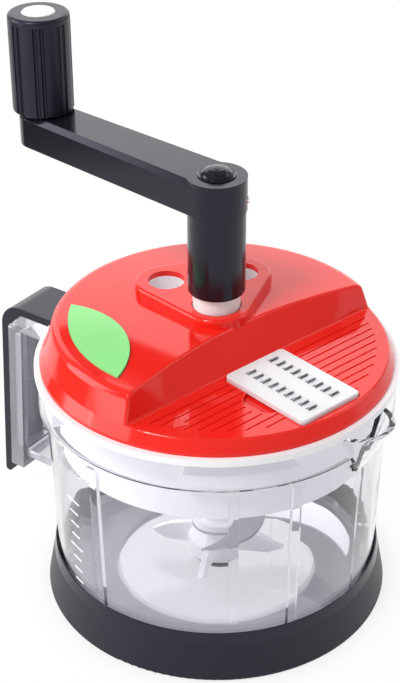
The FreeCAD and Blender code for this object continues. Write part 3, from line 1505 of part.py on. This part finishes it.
def make_crank_arm():
    """Crank arm: hub over the shaft's square end, tapered bar with a bevelled top edge."""
    body = new_body("crank_arm", d.arm_azimuth)
    outline = new_sketch(body, "XY_Plane", "arm_outline", hub_z)
    belt(outline, [(0, 0, arm_hub_radius), (d.arm_length, 0, d.arm_tip_radius)])
    bar = pad(body, "bar", outline, d.arm_thickness)
    bevel_edges(body, "bevel", bar, d.arm_bevel, level_edge(arm_top))
    hub = new_sketch(body, "XY_Plane", "hub_outline", hub_z)
    circle(hub, 0, 0, arm_hub_radius)
    pad(body, "hub", hub, d.arm_thickness)
    half = d.shaft_across / 2 + d.running_gap
    square = new_sketch(body, "XY_Plane", "square_outline", arm_top)
    contour(square, rectangle(-half, half, -half, half))
    pocket(body, "square", square, d.arm_thickness + 1.0)
    round_pocket(body, "shaft_hole", [(0, 0)], d.shaft_radius + d.running_gap, square_z,
                 square_z - hub_z + 1.0)
    round_pocket(body, "cap_seat", [(0, 0)], d.cap_ring_radius, arm_top,
                 arm_top - shaft_top - d.seat_gap)
    round_pocket(body, "spindle_hole", [(d.arm_length, 0)], d.grip_pin_radius, arm_top,
                 d.arm_thickness - d.grip_pin_floor)
    cross_pin_hole(body)
    return body


def make_crank_sleeve():
    """Black sleeve of the crank, running on the white column."""
    body = new_body("crank_sleeve", d.arm_azimuth)
    inner = d.column_radius + d.sleeve_clearance
    bore = d.shaft_radius + d.running_gap
    roof = column_top + d.bush_flange + d.seat_gap
    profile = revolution(body, "sleeve", [
        (inner, sleeve_z),
        (sleeve_radius, sleeve_z),
        (sleeve_radius, hub_z),
        (bore, hub_z),
        (bore, roof),
        (inner, roof)])
    wall = sleeve_radius - inner
    round_edges(body, "lower_round", profile, wall * 0.6, ring_edge(sleeve_radius, sleeve_z))
    return body


def make_hub_cap():
    """Glossy domed cap in the crank's hub."""
    body = new_body("hub_cap", d.arm_azimuth)
    low = shaft_top + d.seat_gap
    ring = d.cap_ring_radius - d.running_gap
    rim = d.cap_ring_height
    width = cap_dome_radius
    high = d.cap_dome_height
    revolution(body, "cap", [
        (0, low),
        (ring, low),
        (ring, arm_top + rim * 0.4),
        (ring - 0.4, arm_top + rim * 0.7),
        (width, arm_top + rim * 0.5),
        (width * 0.94, arm_top + high * 0.4),
        (width * 0.78, arm_top + high * 0.66),
        (width * 0.5, arm_top + high * 0.88),
        (width * 0.2, arm_top + high * 0.98),
        (0, arm_top + high)])
    return body


def make_cross_pin():
    """Steel pin across the hub and the shaft, one end showing beside the hub."""
    body = new_body("cross_pin", d.arm_azimuth)
    reach = arm_hub_radius + d.cross_pin_proud
    bevel = d.cross_pin_radius * 0.3
    sketch = new_sketch(body, "XY_Plane", "pin_profile", hub_z + d.cross_pin_height,
                        d.cross_pin_azimuth - 90.0)
    contour(sketch, [
        (0, -reach),
        (d.cross_pin_radius - bevel, -reach),
        (d.cross_pin_radius, bevel - reach),
        (d.cross_pin_radius, reach - bevel),
        (d.cross_pin_radius - bevel, reach),
        (0, reach)])
    pin = body.newObject("PartDesign::Revolution", "pin")
    pin.Profile = sketch
    pin.ReferenceAxis = (sketch, ["V_Axis"])
    pin.Angle = 360.0
    return body


def make_grip_spindle():
    """Steel spindle in the arm: a thin shoulder under the grip and a head that holds it."""
    body = new_body("grip_spindle", d.arm_azimuth, arm_tip())
    low = hub_z + d.grip_pin_floor
    head = grip_top - d.grip_pocket + d.seat_gap
    high = head + d.grip_head_height
    shoulder = grip_z - d.seat_gap
    revolution(body, "spindle", [
        (0, low),
        (d.grip_pin_radius, low),
        (d.grip_pin_radius, arm_top),
        (d.grip_pin_head, arm_top),
        (d.grip_pin_head, shoulder),
        (d.grip_pin_radius, shoulder),
        (d.grip_pin_radius, head),
        (d.grip_pin_head, head),
        (d.grip_pin_head, high - 0.8),
        (d.grip_pin_head - 0.8, high),
        (0, high)])
    return body


def make_grip():
    """Black turning grip: wide lands between pairs of narrow flutes."""
    body = new_body("grip", d.arm_azimuth, arm_tip())
    outline = new_sketch(body, "XY_Plane", "grip_outline", grip_z)
    circle(outline, 0, 0, d.grip_radius)
    solid = pad(body, "solid", outline, d.grip_length)
    rounded = round_edges(body, "top_round", solid, d.grip_round, ring_edge(d.grip_radius, grip_top))
    round_edges(body, "foot_round", rounded, d.grip_round * 0.4, ring_edge(d.grip_radius, grip_z))
    bore = d.grip_pin_radius + d.running_gap
    round_pocket(body, "bore", [(0, 0)], bore, grip_top, d.grip_length + 1.0)
    round_pocket(body, "head_room", [(0, 0)], d.grip_pin_head + d.slip_gap, grip_top, d.grip_pocket)
    round_pocket(body, "cap_seat", [(0, 0)], grip_cap_radius, grip_top, d.grip_cap_thickness)
    distance = d.grip_radius + d.grip_flute_width / 2 - d.grip_flute
    centres = [polar(distance, d.grip_flute_spacing / 2), polar(distance, -d.grip_flute_spacing / 2)]
    flute = round_pocket(body, "flute", centres, d.grip_flute_width / 2,
                         grip_top - d.grip_flute_end, d.grip_length)
    repeated_round(body, "flutes", flute, d.count("grip_flute_pairs"))
    return body


def make_grip_cap():
    """White cap that closes the grip's top."""
    body = new_body("grip_cap", d.arm_azimuth, arm_tip())
    low = grip_top - d.grip_cap_thickness
    high = grip_top + d.grip_cap_proud
    revolution(body, "cap", [
        (0, low), (grip_cap_radius, low), (grip_cap_radius, grip_top),
        (grip_cap_radius - d.grip_cap_proud, high), (0, high)])
    return body


# ---------------------------------------------------------------- blades


def blade_level(level):
    """Height of a steel blade's underside."""
    return blade_floor + d.blade_foot_height + d.blade_spacing * level


def make_blade_column():
    """White column of the blades: bored for the pivot pin, with wings low down, square on top."""
    body = new_body("blade_column")
    neck = socket_z - d.seat_gap
    revolution(body, "post", [
        (0, blade_floor),
        (d.blade_foot_radius, blade_floor),
        (d.blade_foot_radius, blade_floor + d.blade_foot_height * 0.5),
        (d.blade_hub_radius, blade_floor + d.blade_foot_height),
        (d.blade_hub_radius, neck - 1.0),
        (d.blade_hub_radius - 1.0, neck),
        (0, neck)])
    half = d.drive_across / 2
    tip = new_sketch(body, "XY_Plane", "tip_outline", neck, d.lid_turn)
    contour(tip, rectangle(-half, half, -half, half))
    pad(body, "tip", tip, d.drive_tip)
    low = blade_floor + d.paddle_gap
    start = d.blade_hub_radius * 0.6
    reach = d.paddle_reach
    high = d.blade_foot_height - d.paddle_gap - d.paddle_top_gap
    side = new_sketch(body, "XZ_Plane", "paddle_profile", turn=PADDLE_AZIMUTH)
    contour(side, [
        (start, low),
        (reach * 0.8, low),
        (reach, low + high * 0.3),
        (reach * 0.7, low + high * 0.7),
        (start, low + high)])
    wing = pad(body, "paddle", side, d.paddle_thickness, symmetric=True)
    repeated_round(body, "paddles", wing, PADDLES)
    bore_top = pin_bottom + d.pin_length + d.slip_gap
    round_pocket(body, "bore", [(0, 0)], d.pin_radius + d.running_gap, bore_top,
                 bore_top - blade_floor + 1.0)
    return body


def make_blade(label, level, azimuth, share):
    """One curved steel blade: a sickle with a round eye at its root."""
    body = new_body(label, azimuth)
    reach = d.blade_reach * share
    bow = d.blade_bow * share
    width = d.blade_width * share
    eye = d.blade_hub_radius + d.blade_eye
    outline = new_sketch(body, "XY_Plane", "blade_outline", blade_level(level))
    contour(outline, [
        (0.0, -eye * 0.9, reach * 0.58, bow - width),
        (reach, 0.0, reach * 0.66, bow),
        (0.0, eye * 0.9)])
    pad(body, "sickle", outline, d.blade_thickness)
    ring = new_sketch(body, "XY_Plane", "eye_outline", blade_level(level))
    circle(ring, 0, 0, eye)
    pad(body, "eye", ring, d.blade_thickness)
    round_pocket(body, "eye_hole", [(0, 0)], d.blade_hub_radius,
                 blade_level(level) + d.blade_thickness, d.blade_thickness + 1.0)
    return body


def make_blade_collars():
    """White collars that hold the steel blades at their heights on the column."""
    collars = []
    for level in range(len(BLADES)):
        low = blade_level(level) + d.blade_thickness
        high = low + d.collar_height
        outer = cylinder(d.blade_hub_radius + d.collar_wall, low, high)
        collars.append(outer.cut(cylinder(d.blade_hub_radius, low - 1.0, high + 1.0)))
    return named("blade_collars", group(collars))


# ---------------------------------------------------------------- the model

parts = [
    make_base_ring(),
    make_bowl(),
    make_pivot_pin(),
    make_handle_cover(),
    make_inner_lid(),
    make_lid_screws(),
    make_lid_cover(),
    make_leaf_inlay(),
    make_grater_plate(),
    make_grater_blade(),
    make_column(),
    make_column_screws(),
    make_lower_bush(),
    make_upper_bush(),
    make_drive_shaft(),
    make_ring_gear(),
    make_planet_pins(),
    make_sun_gear(),
    make_drive_socket(),
    make_output_bush(),
    make_crank_arm(),
    make_crank_sleeve(),
    make_hub_cap(),
    make_cross_pin(),
    make_grip_spindle(),
    make_grip(),
    make_grip_cap(),
    make_blade_column(),
    make_blade_collars(),
]
parts += [make_planet_gear(number) for number in range(PLANETS)]
parts += [make_blade(label, level, azimuth, share)
          for level, (label, azimuth, share) in enumerate(BLADES)]

doc.recompute()

for item in doc.Objects:
    if any(word in item.State for word in ("Invalid", "Error")):
        raise RuntimeError("{} failed: {}".format(item.Label, item.State))
for part in parts:
    if part.Shape.isNull() or not part.Shape.isValid():
        raise RuntimeError("{} has no valid shape".format(part.Label))

os.makedirs("parts", exist_ok=True)
for part in parts:
    part.Shape.exportStep(os.path.join("parts", part.Label + ".step"))
    box = part.Shape.BoundBox
    print("{:16s} solids {:2d}  volume {:10.1f}  z {:7.2f} to {:7.2f}".format(
        part.Label, len(part.Shape.Solids), part.Shape.Volume, box.ZMin, box.ZMax))
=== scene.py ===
"""Looks of a hand-cranked food chopper: finishes, raised marks, studio and camera. Metres."""
import json
import math

import bmesh
import bpy
from mathutils import Matrix, Vector


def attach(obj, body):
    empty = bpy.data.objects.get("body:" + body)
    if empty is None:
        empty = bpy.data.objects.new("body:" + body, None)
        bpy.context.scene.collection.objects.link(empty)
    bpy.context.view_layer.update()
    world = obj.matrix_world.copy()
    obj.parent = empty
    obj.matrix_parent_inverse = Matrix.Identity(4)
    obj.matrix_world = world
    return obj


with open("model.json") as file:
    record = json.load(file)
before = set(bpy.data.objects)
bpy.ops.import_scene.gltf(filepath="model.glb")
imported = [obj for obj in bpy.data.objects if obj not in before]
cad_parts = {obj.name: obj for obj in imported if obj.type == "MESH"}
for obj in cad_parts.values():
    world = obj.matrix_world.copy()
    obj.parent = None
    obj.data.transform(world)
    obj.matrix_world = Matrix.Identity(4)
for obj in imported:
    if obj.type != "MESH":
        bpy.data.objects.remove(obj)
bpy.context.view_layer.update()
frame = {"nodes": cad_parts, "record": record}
scene = bpy.context.scene

MM = 0.001


# ---------------------------------------------------------------- node trees

class Wire:
    """The output socket of a node; arithmetic on it adds Math nodes."""

    def __init__(self, tree, socket):
        self.tree = tree
        self.socket = socket

    def math(self, operation, *values):
        return self.tree.node("ShaderNodeMath", {"operation": operation}, dict(enumerate(values)))

    def __add__(self, other):
        return self.math("ADD", self, other)

    def __radd__(self, other):
        return self.math("ADD", other, self)

    def __sub__(self, other):
        return self.math("SUBTRACT", self, other)

    def __rsub__(self, other):
        return self.math("SUBTRACT", other, self)

    def __mul__(self, other):
        return self.math("MULTIPLY", self, other)

    def __rmul__(self, other):
        return self.math("MULTIPLY", other, self)


class Tree:
    """The node tree of a material or a world, and the method that adds a node to it."""

    def __init__(self, owner, output_kind):
        owner.use_nodes = True
        self.owner = owner
        self.nodes = owner.node_tree.nodes
        self.links = owner.node_tree.links
        self.nodes.clear()
        self.output = self.nodes.new(output_kind)

    def node(self, kind, settings, sockets, out=0):
        """Adds a node, makes its settings, then fills its sockets by name or number."""
        node = self.nodes.new(kind)
        for key, value in settings.items():
            setattr(node, key, value)
        for key, value in sockets.items():
            target = node.inputs[key]
            if isinstance(value, Wire):
                self.links.new(value.socket, target)
            else:
                target.default_value = value
        return Wire(self, node.outputs[out])

    def close(self, surface):
        self.links.new(surface.socket, self.output.inputs["Surface"])
        return self.owner

    def rays(self, *kinds):
        """1 where the ray is of one of the named kinds."""
        total = 0.0
        for kind in kinds:
            total = self.node("ShaderNodeLightPath", {}, {}, kind) + total
        return total

    def mix_shaders(self, factor, low, high):
        return self.node("ShaderNodeMixShader", {}, {0: factor, 1: low, 2: high})


class Finish(Tree):
    """One material, with the patterns that the finishes share."""

    def __init__(self, name):
        super().__init__(bpy.data.materials.new(name), "ShaderNodeOutputMaterial")

    def place(self):
        return self.node("ShaderNodeTexCoord", {}, {}, "Object")

    def along(self, axis):
        """One Object coordinate, in metres."""
        return self.node("ShaderNodeSeparateXYZ", {}, {"Vector": self.place()}, axis)

    def from_axis(self):
        """Distance from the bowl's axis, in metres."""
        across, deep = self.along("X"), self.along("Y")
        square = across * across + deep * deep
        return square.math("SQRT", square)

    def ramp(self, value, start, stop):
        """0 below start, 1 above stop, smooth between."""
        return self.node("ShaderNodeMapRange", {"interpolation_type": "SMOOTHSTEP"}, {
            "Value": value,
            "From Min": start,
            "From Max": stop,
        })

    def noise(self, scale, detail=3.0, stretch=(1.0, 1.0, 1.0)):
        """Fractal noise from 0 to 1; scale is in lumps per metre."""
        vector = self.node("ShaderNodeMapping", {}, {"Vector": self.place(), "Scale": stretch})
        return self.node("ShaderNodeTexNoise", {}, {
            "Vector": vector,
            "Scale": scale,
            "Detail": detail,
        })

    def blend(self, factor, low, high):
        """Mix of two colours."""
        return self.node("ShaderNodeMix", {"data_type": "RGBA"}, {0: factor, 6: low, 7: high}, 2)

    def tones(self, factor, colour, darkest, lightest=1.0):
        """One colour, from a darker to a lighter tone of it."""
        return self.blend(factor, rgba(colour, darkest), rgba(colour, lightest))

    def bump(self, height, depth):
        return self.node("ShaderNodeBump", {}, {"Distance": depth, "Height": height})

    def surface(self, sockets):
        return self.node("ShaderNodeBsdfPrincipled", {}, sockets)


def rgba(colour, gain=1.0):
    return (*[min(1.0, part * gain) for part in colour], 1.0)


def grey(level):
    return (level, level, level, 1.0)


# ---------------------------------------------------------------- finishes

NO_TINT = (1.0, 1.0, 1.0)
BLACK_TINT = (0.78, 0.78, 1.0)
PLASTIC_IOR = 1.44

# Patterns in moulded plastic, in lumps per metre, and how much the fine skin adds to the waves.
FLOW_MARKS = 22.0
SLOW_WAVES = 60.0
GLOSS_PATCHES = 90.0
FINE_SKIN = 2600.0
SKIN_SHARE = 0.3


def moulded(name, colour, roughness, spread=0.05, peel=0.02 * MM, tint=NO_TINT, painted_glow=0.0):
    """Injection-moulded plastic: flow marks, uneven gloss, fine skin; painted_glow is a painted glow
    that lightens a part lying in shade.
    """
    finish = Finish(name)
    flow = finish.noise(FLOW_MARKS, 4.0)
    skin = finish.noise(FINE_SKIN, 2.0)
    waves = finish.noise(SLOW_WAVES, 1.0)
    base = finish.tones(flow, colour, 0.93, 1.07)
    return finish.close(finish.surface({
        "Base Color": base,
        "Roughness": finish.noise(GLOSS_PATCHES) * spread + (roughness - spread / 2),
        "IOR": PLASTIC_IOR,
        "Specular Tint": rgba(tint),
        "Emission Color": base,
        "Emission Strength": painted_glow,
        "Normal": finish.bump(skin * SKIN_SHARE + waves, peel),
    }))


RIM_START = 16.8 * MM
RIM_EDGE = 0.4 * MM
SATIN_SKIN = 1800.0
SATIN_DEPTH = 0.03 * MM
SATIN_SPREAD = 0.05


def satin_below_rim(name, colour, satin, gloss):
    """Moulded plastic of the base ring: satin on its wall and glossy on its rim."""
    finish = Finish(name)
    on_rim = finish.ramp(finish.along("Z"), RIM_START - RIM_EDGE, RIM_START + RIM_EDGE)
    flow = finish.noise(FLOW_MARKS, 4.0)
    patches = finish.noise(GLOSS_PATCHES)
    return finish.close(finish.surface({
        "Base Color": finish.tones(flow, colour, 0.9, 1.1),
        "Roughness": on_rim * (gloss - satin) + satin + patches * SATIN_SPREAD,
        "IOR": PLASTIC_IOR,
        "Specular Tint": rgba(BLACK_TINT),
        "Normal": finish.bump(finish.noise(SATIN_SKIN, 2.0), SATIN_DEPTH),
    }))


STEEL_LINES = 900.0
STEEL_STAINS = 60.0
LINE_DEPTH = 0.01 * MM
LINE_SPREAD = 0.12


def brushed(name, colour, roughness, stretch):
    """Steel with fine lines from grinding or rolling; stretch sets which way they run."""
    finish = Finish(name)
    lines = finish.noise(STEEL_LINES, stretch=stretch)
    stains = finish.noise(STEEL_STAINS)
    return finish.close(finish.surface({
        "Base Color": finish.tones(stains, colour, 0.92, 1.05),
        "Metallic": 1.0,
        "Roughness": lines * LINE_SPREAD + roughness,
        "Normal": finish.bump(lines, LINE_DEPTH),
    }))


CLEAR_IOR = 1.46
CLEAR_WAVES = 38.0
CLEAR_WAVE_DEPTH = 0.12 * MM
CLEAR_PATCHES = 120.0
CLEAR_SPREAD = 0.02
FROST = (0.60, 0.60, 0.65)
FROST_ROUGHNESS = 0.5

# Haze: share of frost in the clear plastic, and where it lies.
BOWL_FLOOR_TOP = (7.4 * MM, 7.8 * MM)
BOWL_RING_START = (42.2 * MM, 43.4 * MM)
HANDLE_FRAME_END = (-80.0 * MM, -78.0 * MM)
BOWL_FLOOR_HAZE = 0.22
BOWL_RING_HAZE = 0.28
HANDLE_HAZE = 0.34


def clear_glass(finish, colour, roughness, waves):
    """Refracting to the eye, and plainly see-through to lamps and soft light."""
    glass = finish.surface({
        "Base Color": finish.tones(waves, colour, 0.985),
        "Roughness": finish.noise(CLEAR_PATCHES) * CLEAR_SPREAD + roughness,
        "IOR": CLEAR_IOR,
        "Transmission Weight": 1.0,
        "Normal": finish.bump(waves, CLEAR_WAVE_DEPTH),
    })
    through = finish.node("ShaderNodeBsdfTransparent", {}, {"Color": rgba(colour)})
    return finish.mix_shaders(finish.rays("Is Shadow Ray", "Is Diffuse Ray"), glass, through)


def hazy_places(finish):
    """Share of frost: on the bowl's floor, more in its outer ring, and in the handle's frame."""
    on_floor = 1.0 - finish.ramp(finish.along("Z"), *BOWL_FLOOR_TOP)
    in_ring = finish.ramp(finish.from_axis(), *BOWL_RING_START)
    in_handle = 1.0 - finish.ramp(finish.along("X"), *HANDLE_FRAME_END)
    return on_floor * (in_ring * BOWL_RING_HAZE + BOWL_FLOOR_HAZE) + in_handle * HANDLE_HAZE


def clear_plastic(name, colour, roughness):
    """Clear moulded plastic with slight waves, hazy on the floor and in the handle."""
    finish = Finish(name)
    waves = finish.noise(CLEAR_WAVES, 2.0)
    frost = finish.surface({
        "Base Color": finish.tones(waves, FROST, 0.97),
        "Roughness": FROST_ROUGHNESS,
    })
    clear = clear_glass(finish, colour, roughness, waves)
    return finish.close(finish.mix_shaders(hazy_places(finish), clear, frost))


black_satin = moulded("black_satin", (0.010, 0.010, 0.018), 0.34, 0.08, 0.04 * MM, BLACK_TINT)
black_gloss = moulded("black_gloss", (0.008, 0.008, 0.012), 0.16, tint=BLACK_TINT)
base_black = satin_below_rim("base_black", (0.012, 0.012, 0.017), 0.40, 0.14)
red_gloss = moulded("red_gloss", (0.90, 0.020, 0.012), 0.10, 0.03, 0.01 * MM)
arrow_red = moulded("arrow_red", (0.90, 0.085, 0.065), 0.3, 0.04)
mark_frost = moulded("mark_frost", (0.80, 0.82, 0.85), 0.4, 0.04)
white_plastic = moulded("white_plastic", (0.83, 0.83, 0.85), 0.24, 0.06)
# Painted glow: the inner lid glows faintly so it reads lighter where it stands in shade.
milky_white = moulded("milky_white", (0.86, 0.86, 0.88), 0.3, 0.06, painted_glow=0.08)
# Painted glow: the blade column and collars glow more, so they read white inside the shaded bowl.
wing_white = moulded("wing_white", (0.88, 0.88, 0.91), 0.3, 0.06, painted_glow=0.26)
gear_plastic = moulded("gear_plastic", (0.78, 0.77, 0.72), 0.35, 0.08)
bearing_plastic = moulded("bearing_plastic", (0.20, 0.20, 0.21), 0.4, 0.08)
leaf_green = moulded("leaf_green", (0.29, 0.80, 0.26), 0.3, 0.08)
bowl_clear = clear_plastic("bowl_clear", (0.95, 0.953, 0.975), 0.015)
polished_steel = brushed("polished_steel", (0.78, 0.78, 0.79), 0.08, (1.0, 1.0, 12.0))
blade_steel = brushed("blade_steel", (0.62, 0.62, 0.65), 0.3, (14.0, 1.0, 1.0))
screw_steel = brushed("screw_steel", (0.62, 0.62, 0.62), 0.25, (1.0, 8.0, 1.0))

FINISHES = {
    "black_satin": black_satin,
    "black_gloss": black_gloss,
    "clear_plastic": bowl_clear,
    "red_gloss": red_gloss,
    "white_plastic": white_plastic,
    "gear_plastic": gear_plastic,
    "bearing_plastic": bearing_plastic,
    "polished_steel": polished_steel,
    "blade_steel": blade_steel,
    "screw_steel": screw_steel,
    "leaf_green": leaf_green,
}

NODE_FINISHES = {
    "base_ring": base_black,
    "inner_lid": milky_white,
    "blade_column": wing_white,
    "blade_collars": wing_white,
}

slots = {entry["node"]: entry["material_slot"] for entry in frame["record"]["subparts"]}
for name, node in frame["nodes"].items():
    node.data.materials.clear()
    node.data.materials.append(NODE_FINISHES.get(name, FINISHES[slots[name]]))


# ---------------------------------------------------------------- raised marks

def new_object(name, build, finish):
    """Stores a built mesh as an object with one finish."""
    mesh = bpy.data.meshes.new(name)
    build.to_mesh(mesh)
    build.free()
    mesh.materials.append(finish)
    made = bpy.data.objects.new(name, mesh)
    scene.collection.objects.link(made)
    return made


def new_piece(name, build, finish, rides_on):
    """Stores a built mesh as a piece that moves with a body."""
    bmesh.ops.recalc_face_normals(build, faces=build.faces)
    piece = new_object(name, build, finish)
    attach(piece, rides_on)
    return piece


def bevelled(build, size):
    bmesh.ops.bevel(build, geom=build.edges[:], offset=size, affect="EDGES", segments=2,
                    profile=0.5, material=-1)


def turned(degrees, axis="Z"):
    return Matrix.Rotation(math.radians(degrees), 4, axis)


LID_TURN = -12.5
FLAT_HEIGHT = 117.0 * MM
ARROW_PLACE = (35.1 * MM, -50.5 * MM)
ARROW_RADIUS = 4.0 * MM
ARROW_TURN = -52.0
ARROW_RISE = 0.35 * MM
ARROW_EDGE = 0.12 * MM


def add_arrow():
    """Small raised arrowhead on the lid's lower flat; its lower half is sunk in the lid."""
    build = bmesh.new()
    bmesh.ops.create_cone(build, cap_ends=True, segments=3, radius1=ARROW_RADIUS,
                          radius2=ARROW_RADIUS, depth=ARROW_RISE * 2, matrix=turned(ARROW_TURN))
    bevelled(build, ARROW_EDGE)
    place = turned(LID_TURN) @ Matrix.Translation((*ARROW_PLACE, FLAT_HEIGHT))
    bmesh.ops.transform(build, matrix=place, verts=build.verts)
    arrow = new_piece("arrow_mark", build, arrow_red, "lid")


BOWL_FOOT = 68.6 * MM
BOWL_FLARE = 2.3 / 86.7
BOWL_BOTTOM = 4.3 * MM
MARK_AZIMUTH = -110.0
MARK_COUNT = 9
FIRST_MARK = 18.0 * MM
MARK_STEP = 6.0 * MM
LONG_MARK = 9.0 * MM
SHORT_MARK = 6.0 * MM
LONG_MARK_EVERY = 4
MARK_THICKNESS = 0.5 * MM
MARK_WIDTH = 0.6 * MM
MARK_EDGE = 0.1 * MM


def add_scale_marks():
    """Raised lines of a filling scale on the bowl's wall; every fourth is longer."""
    build = bmesh.new()
    for number in range(MARK_COUNT):
        height = FIRST_MARK + MARK_STEP * number
        length = LONG_MARK if number % LONG_MARK_EVERY == 0 else SHORT_MARK
        radius = BOWL_FOOT + BOWL_FLARE * (height - BOWL_BOTTOM)
        place = turned(MARK_AZIMUTH) @ Matrix.Translation((radius, 0.0, height))
        place = place @ Matrix.Diagonal((MARK_THICKNESS, length, MARK_WIDTH, 1.0))
        bmesh.ops.create_cube(build, size=1.0, matrix=place)
    bevelled(build, MARK_EDGE)
    marks = new_piece("scale_marks", build, mark_frost, "bowl")


add_arrow()
add_scale_marks()


# ---------------------------------------------------------------- floor

FLOOR_HALF_SIZE = 6.0
FLOOR_PATCHES = 3.0
FLOOR_DULL = 0.92
FLOOR_BRIGHT = 0.94
FLOOR_ROUGHNESS = 0.6
# Painted shade: under the bowl the floor is painted grey and glows less, so it reads as lying in the
# bowl's shadow.
UNDER_BOWL_PAINTED_SHADE = (0.30, 0.30, 0.32, 1.0)
UNDER_BOWL_EDGE = (0.05, 0.09)
UNDER_BOWL_GLOW = 0.5
OPEN_FLOOR_GLOW = 0.96

# Painted dark reflection: a stretch of floor on the handle's side is painted near black for reflection
# rays only, so glossy parts show a dark reflection there.
WEDGE_START = math.radians(-174.0)
WEDGE_STOP = math.radians(-140.0)
WEDGE_FADE = 0.03
WEDGE_NEAR_EDGE = (0.42, 0.48)
PAINTED_REFLECTION_GREY = 0.02


def painted_dark_wedge(finish):
    """1 on the stretch of floor painted dark for reflection rays, a painted dark reflection."""
    across, deep = finish.along("X"), finish.along("Y")
    angle = deep.math("ARCTAN2", deep, across)
    past_start = finish.ramp(angle, WEDGE_START, WEDGE_START + WEDGE_FADE)
    past_stop = finish.ramp(angle, WEDGE_STOP, WEDGE_STOP + WEDGE_FADE)
    beyond = finish.ramp(finish.from_axis(), *WEDGE_NEAR_EDGE)
    return (past_start - past_stop) * beyond


def floor_finish():
    """White floor: nearly plain white to the camera and in reflections, still shaded by the object;
    under the bowl it is painted grey and glows less, a painted shade.
    """
    finish = Finish("floor_white")
    outside = finish.ramp(finish.from_axis(), *UNDER_BOWL_EDGE)
    open_floor = finish.blend(finish.noise(FLOOR_PATCHES, 2.0), grey(FLOOR_DULL), grey(FLOOR_BRIGHT))
    shaded = finish.surface({
        # painted shade under the bowl
        "Base Color": finish.blend(outside, UNDER_BOWL_PAINTED_SHADE, open_floor),
        "Roughness": FLOOR_ROUGHNESS,
        "Specular IOR Level": 0.0,
    })
    # Painted dark reflection: reflection rays see the wedge near black.
    in_wedge = finish.rays("Is Glossy Ray") * painted_dark_wedge(finish)
    plain = finish.node("ShaderNodeEmission", {}, {
        "Color": finish.blend(in_wedge, grey(1.0), grey(PAINTED_REFLECTION_GREY)),
        "Strength": 1.0,
    })
    paths = finish.rays("Is Camera Ray", "Is Glossy Ray", "Is Transmission Ray")
    seen = paths * (outside * (OPEN_FLOOR_GLOW - UNDER_BOWL_GLOW) + UNDER_BOWL_GLOW)
    return finish.close(finish.mix_shaders(seen, shaded, plain))


def add_floor():
    build = bmesh.new()
    bmesh.ops.create_grid(build, x_segments=1, y_segments=1, size=FLOOR_HALF_SIZE)
    floor = new_object("floor", build, floor_finish())


# ---------------------------------------------------------------- lights and camera

EVEN_LIGHT = 0.42


def add_world(strength):
    """Even light from all round, and a plain white behind the object."""
    world = Tree(bpy.data.worlds.new("studio"), "ShaderNodeOutputWorld")
    even = world.node("ShaderNodeBackground", {}, {"Color": grey(1.0), "Strength": strength})
    white = world.node("ShaderNodeBackground", {}, {"Color": grey(1.0), "Strength": 1.0})
    seen = world.rays("Is Camera Ray", "Is Transmission Ray")
    scene.world = world.close(world.mix_shaders(seen, even, white))


OBJECT_MIDDLE = (0.0, 0.0, 0.1)
HIGHER_UP = (0.0, 0.0, 0.12)


def add_softbox(name, azimuth, elevation, distance, size, level, aim=OBJECT_MIDDLE):
    """A rectangular lamp facing the object; level is how bright its face is, 1 being white."""
    lamp = bpy.data.lights.new(name, "AREA")
    lamp.shape = "RECTANGLE"
    lamp.size, lamp.size_y = size
    lamp.energy = math.pi * size[0] * size[1] * level
    softbox = bpy.data.objects.new(name, lamp)
    scene.collection.objects.link(softbox)
    turn, rise = math.radians(azimuth), math.radians(elevation)
    across = math.cos(rise)
    direction = Vector((math.cos(turn) * across, math.sin(turn) * across, math.sin(rise)))
    softbox.location = Vector(aim) + direction * distance
    softbox.rotation_euler = direction.to_track_quat("Z", "Y").to_euler()
    softbox.visible_camera = False


CAMERA_PLACE = (0.3226, -0.4555, 0.4567)
CAMERA_TURN = 36.0
CAMERA_DIP = 31.33
CAMERA_ROLL = -0.26
FOCAL_LENGTH = 84.33
SENSOR_WIDTH = 36.0


def add_camera():
    data = bpy.data.cameras.new("camera")
    data.sensor_width = SENSOR_WIDTH
    data.lens = FOCAL_LENGTH
    data.clip_start = 0.01
    data.clip_end = 50.0
    camera = bpy.data.objects.new("camera", data)
    scene.collection.objects.link(camera)
    aim = turned(CAMERA_TURN) @ turned(90.0 - CAMERA_DIP, "X") @ turned(CAMERA_ROLL)
    camera.matrix_world = Matrix.Translation(CAMERA_PLACE) @ aim
    scene.camera = camera


add_floor()
add_world(EVEN_LIGHT)
add_softbox("backdrop", 126.0, 24.0, 1.6, (2.6, 1.3), 1.5)
add_softbox("left", 212.0, 18.0, 1.4, (0.8, 1.2), 3.6)
add_softbox("right", 50.0, 30.0, 1.6, (0.6, 1.1), 1.6)
add_softbox("key", -99.0, 55.0, 1.5, (0.35, 0.35), 26.0)
add_softbox("low", -120.0, 3.0, 1.2, (0.6, 0.4), 2.4, HIGHER_UP)
add_camera()
scene.view_settings.view_transform = "Standard"
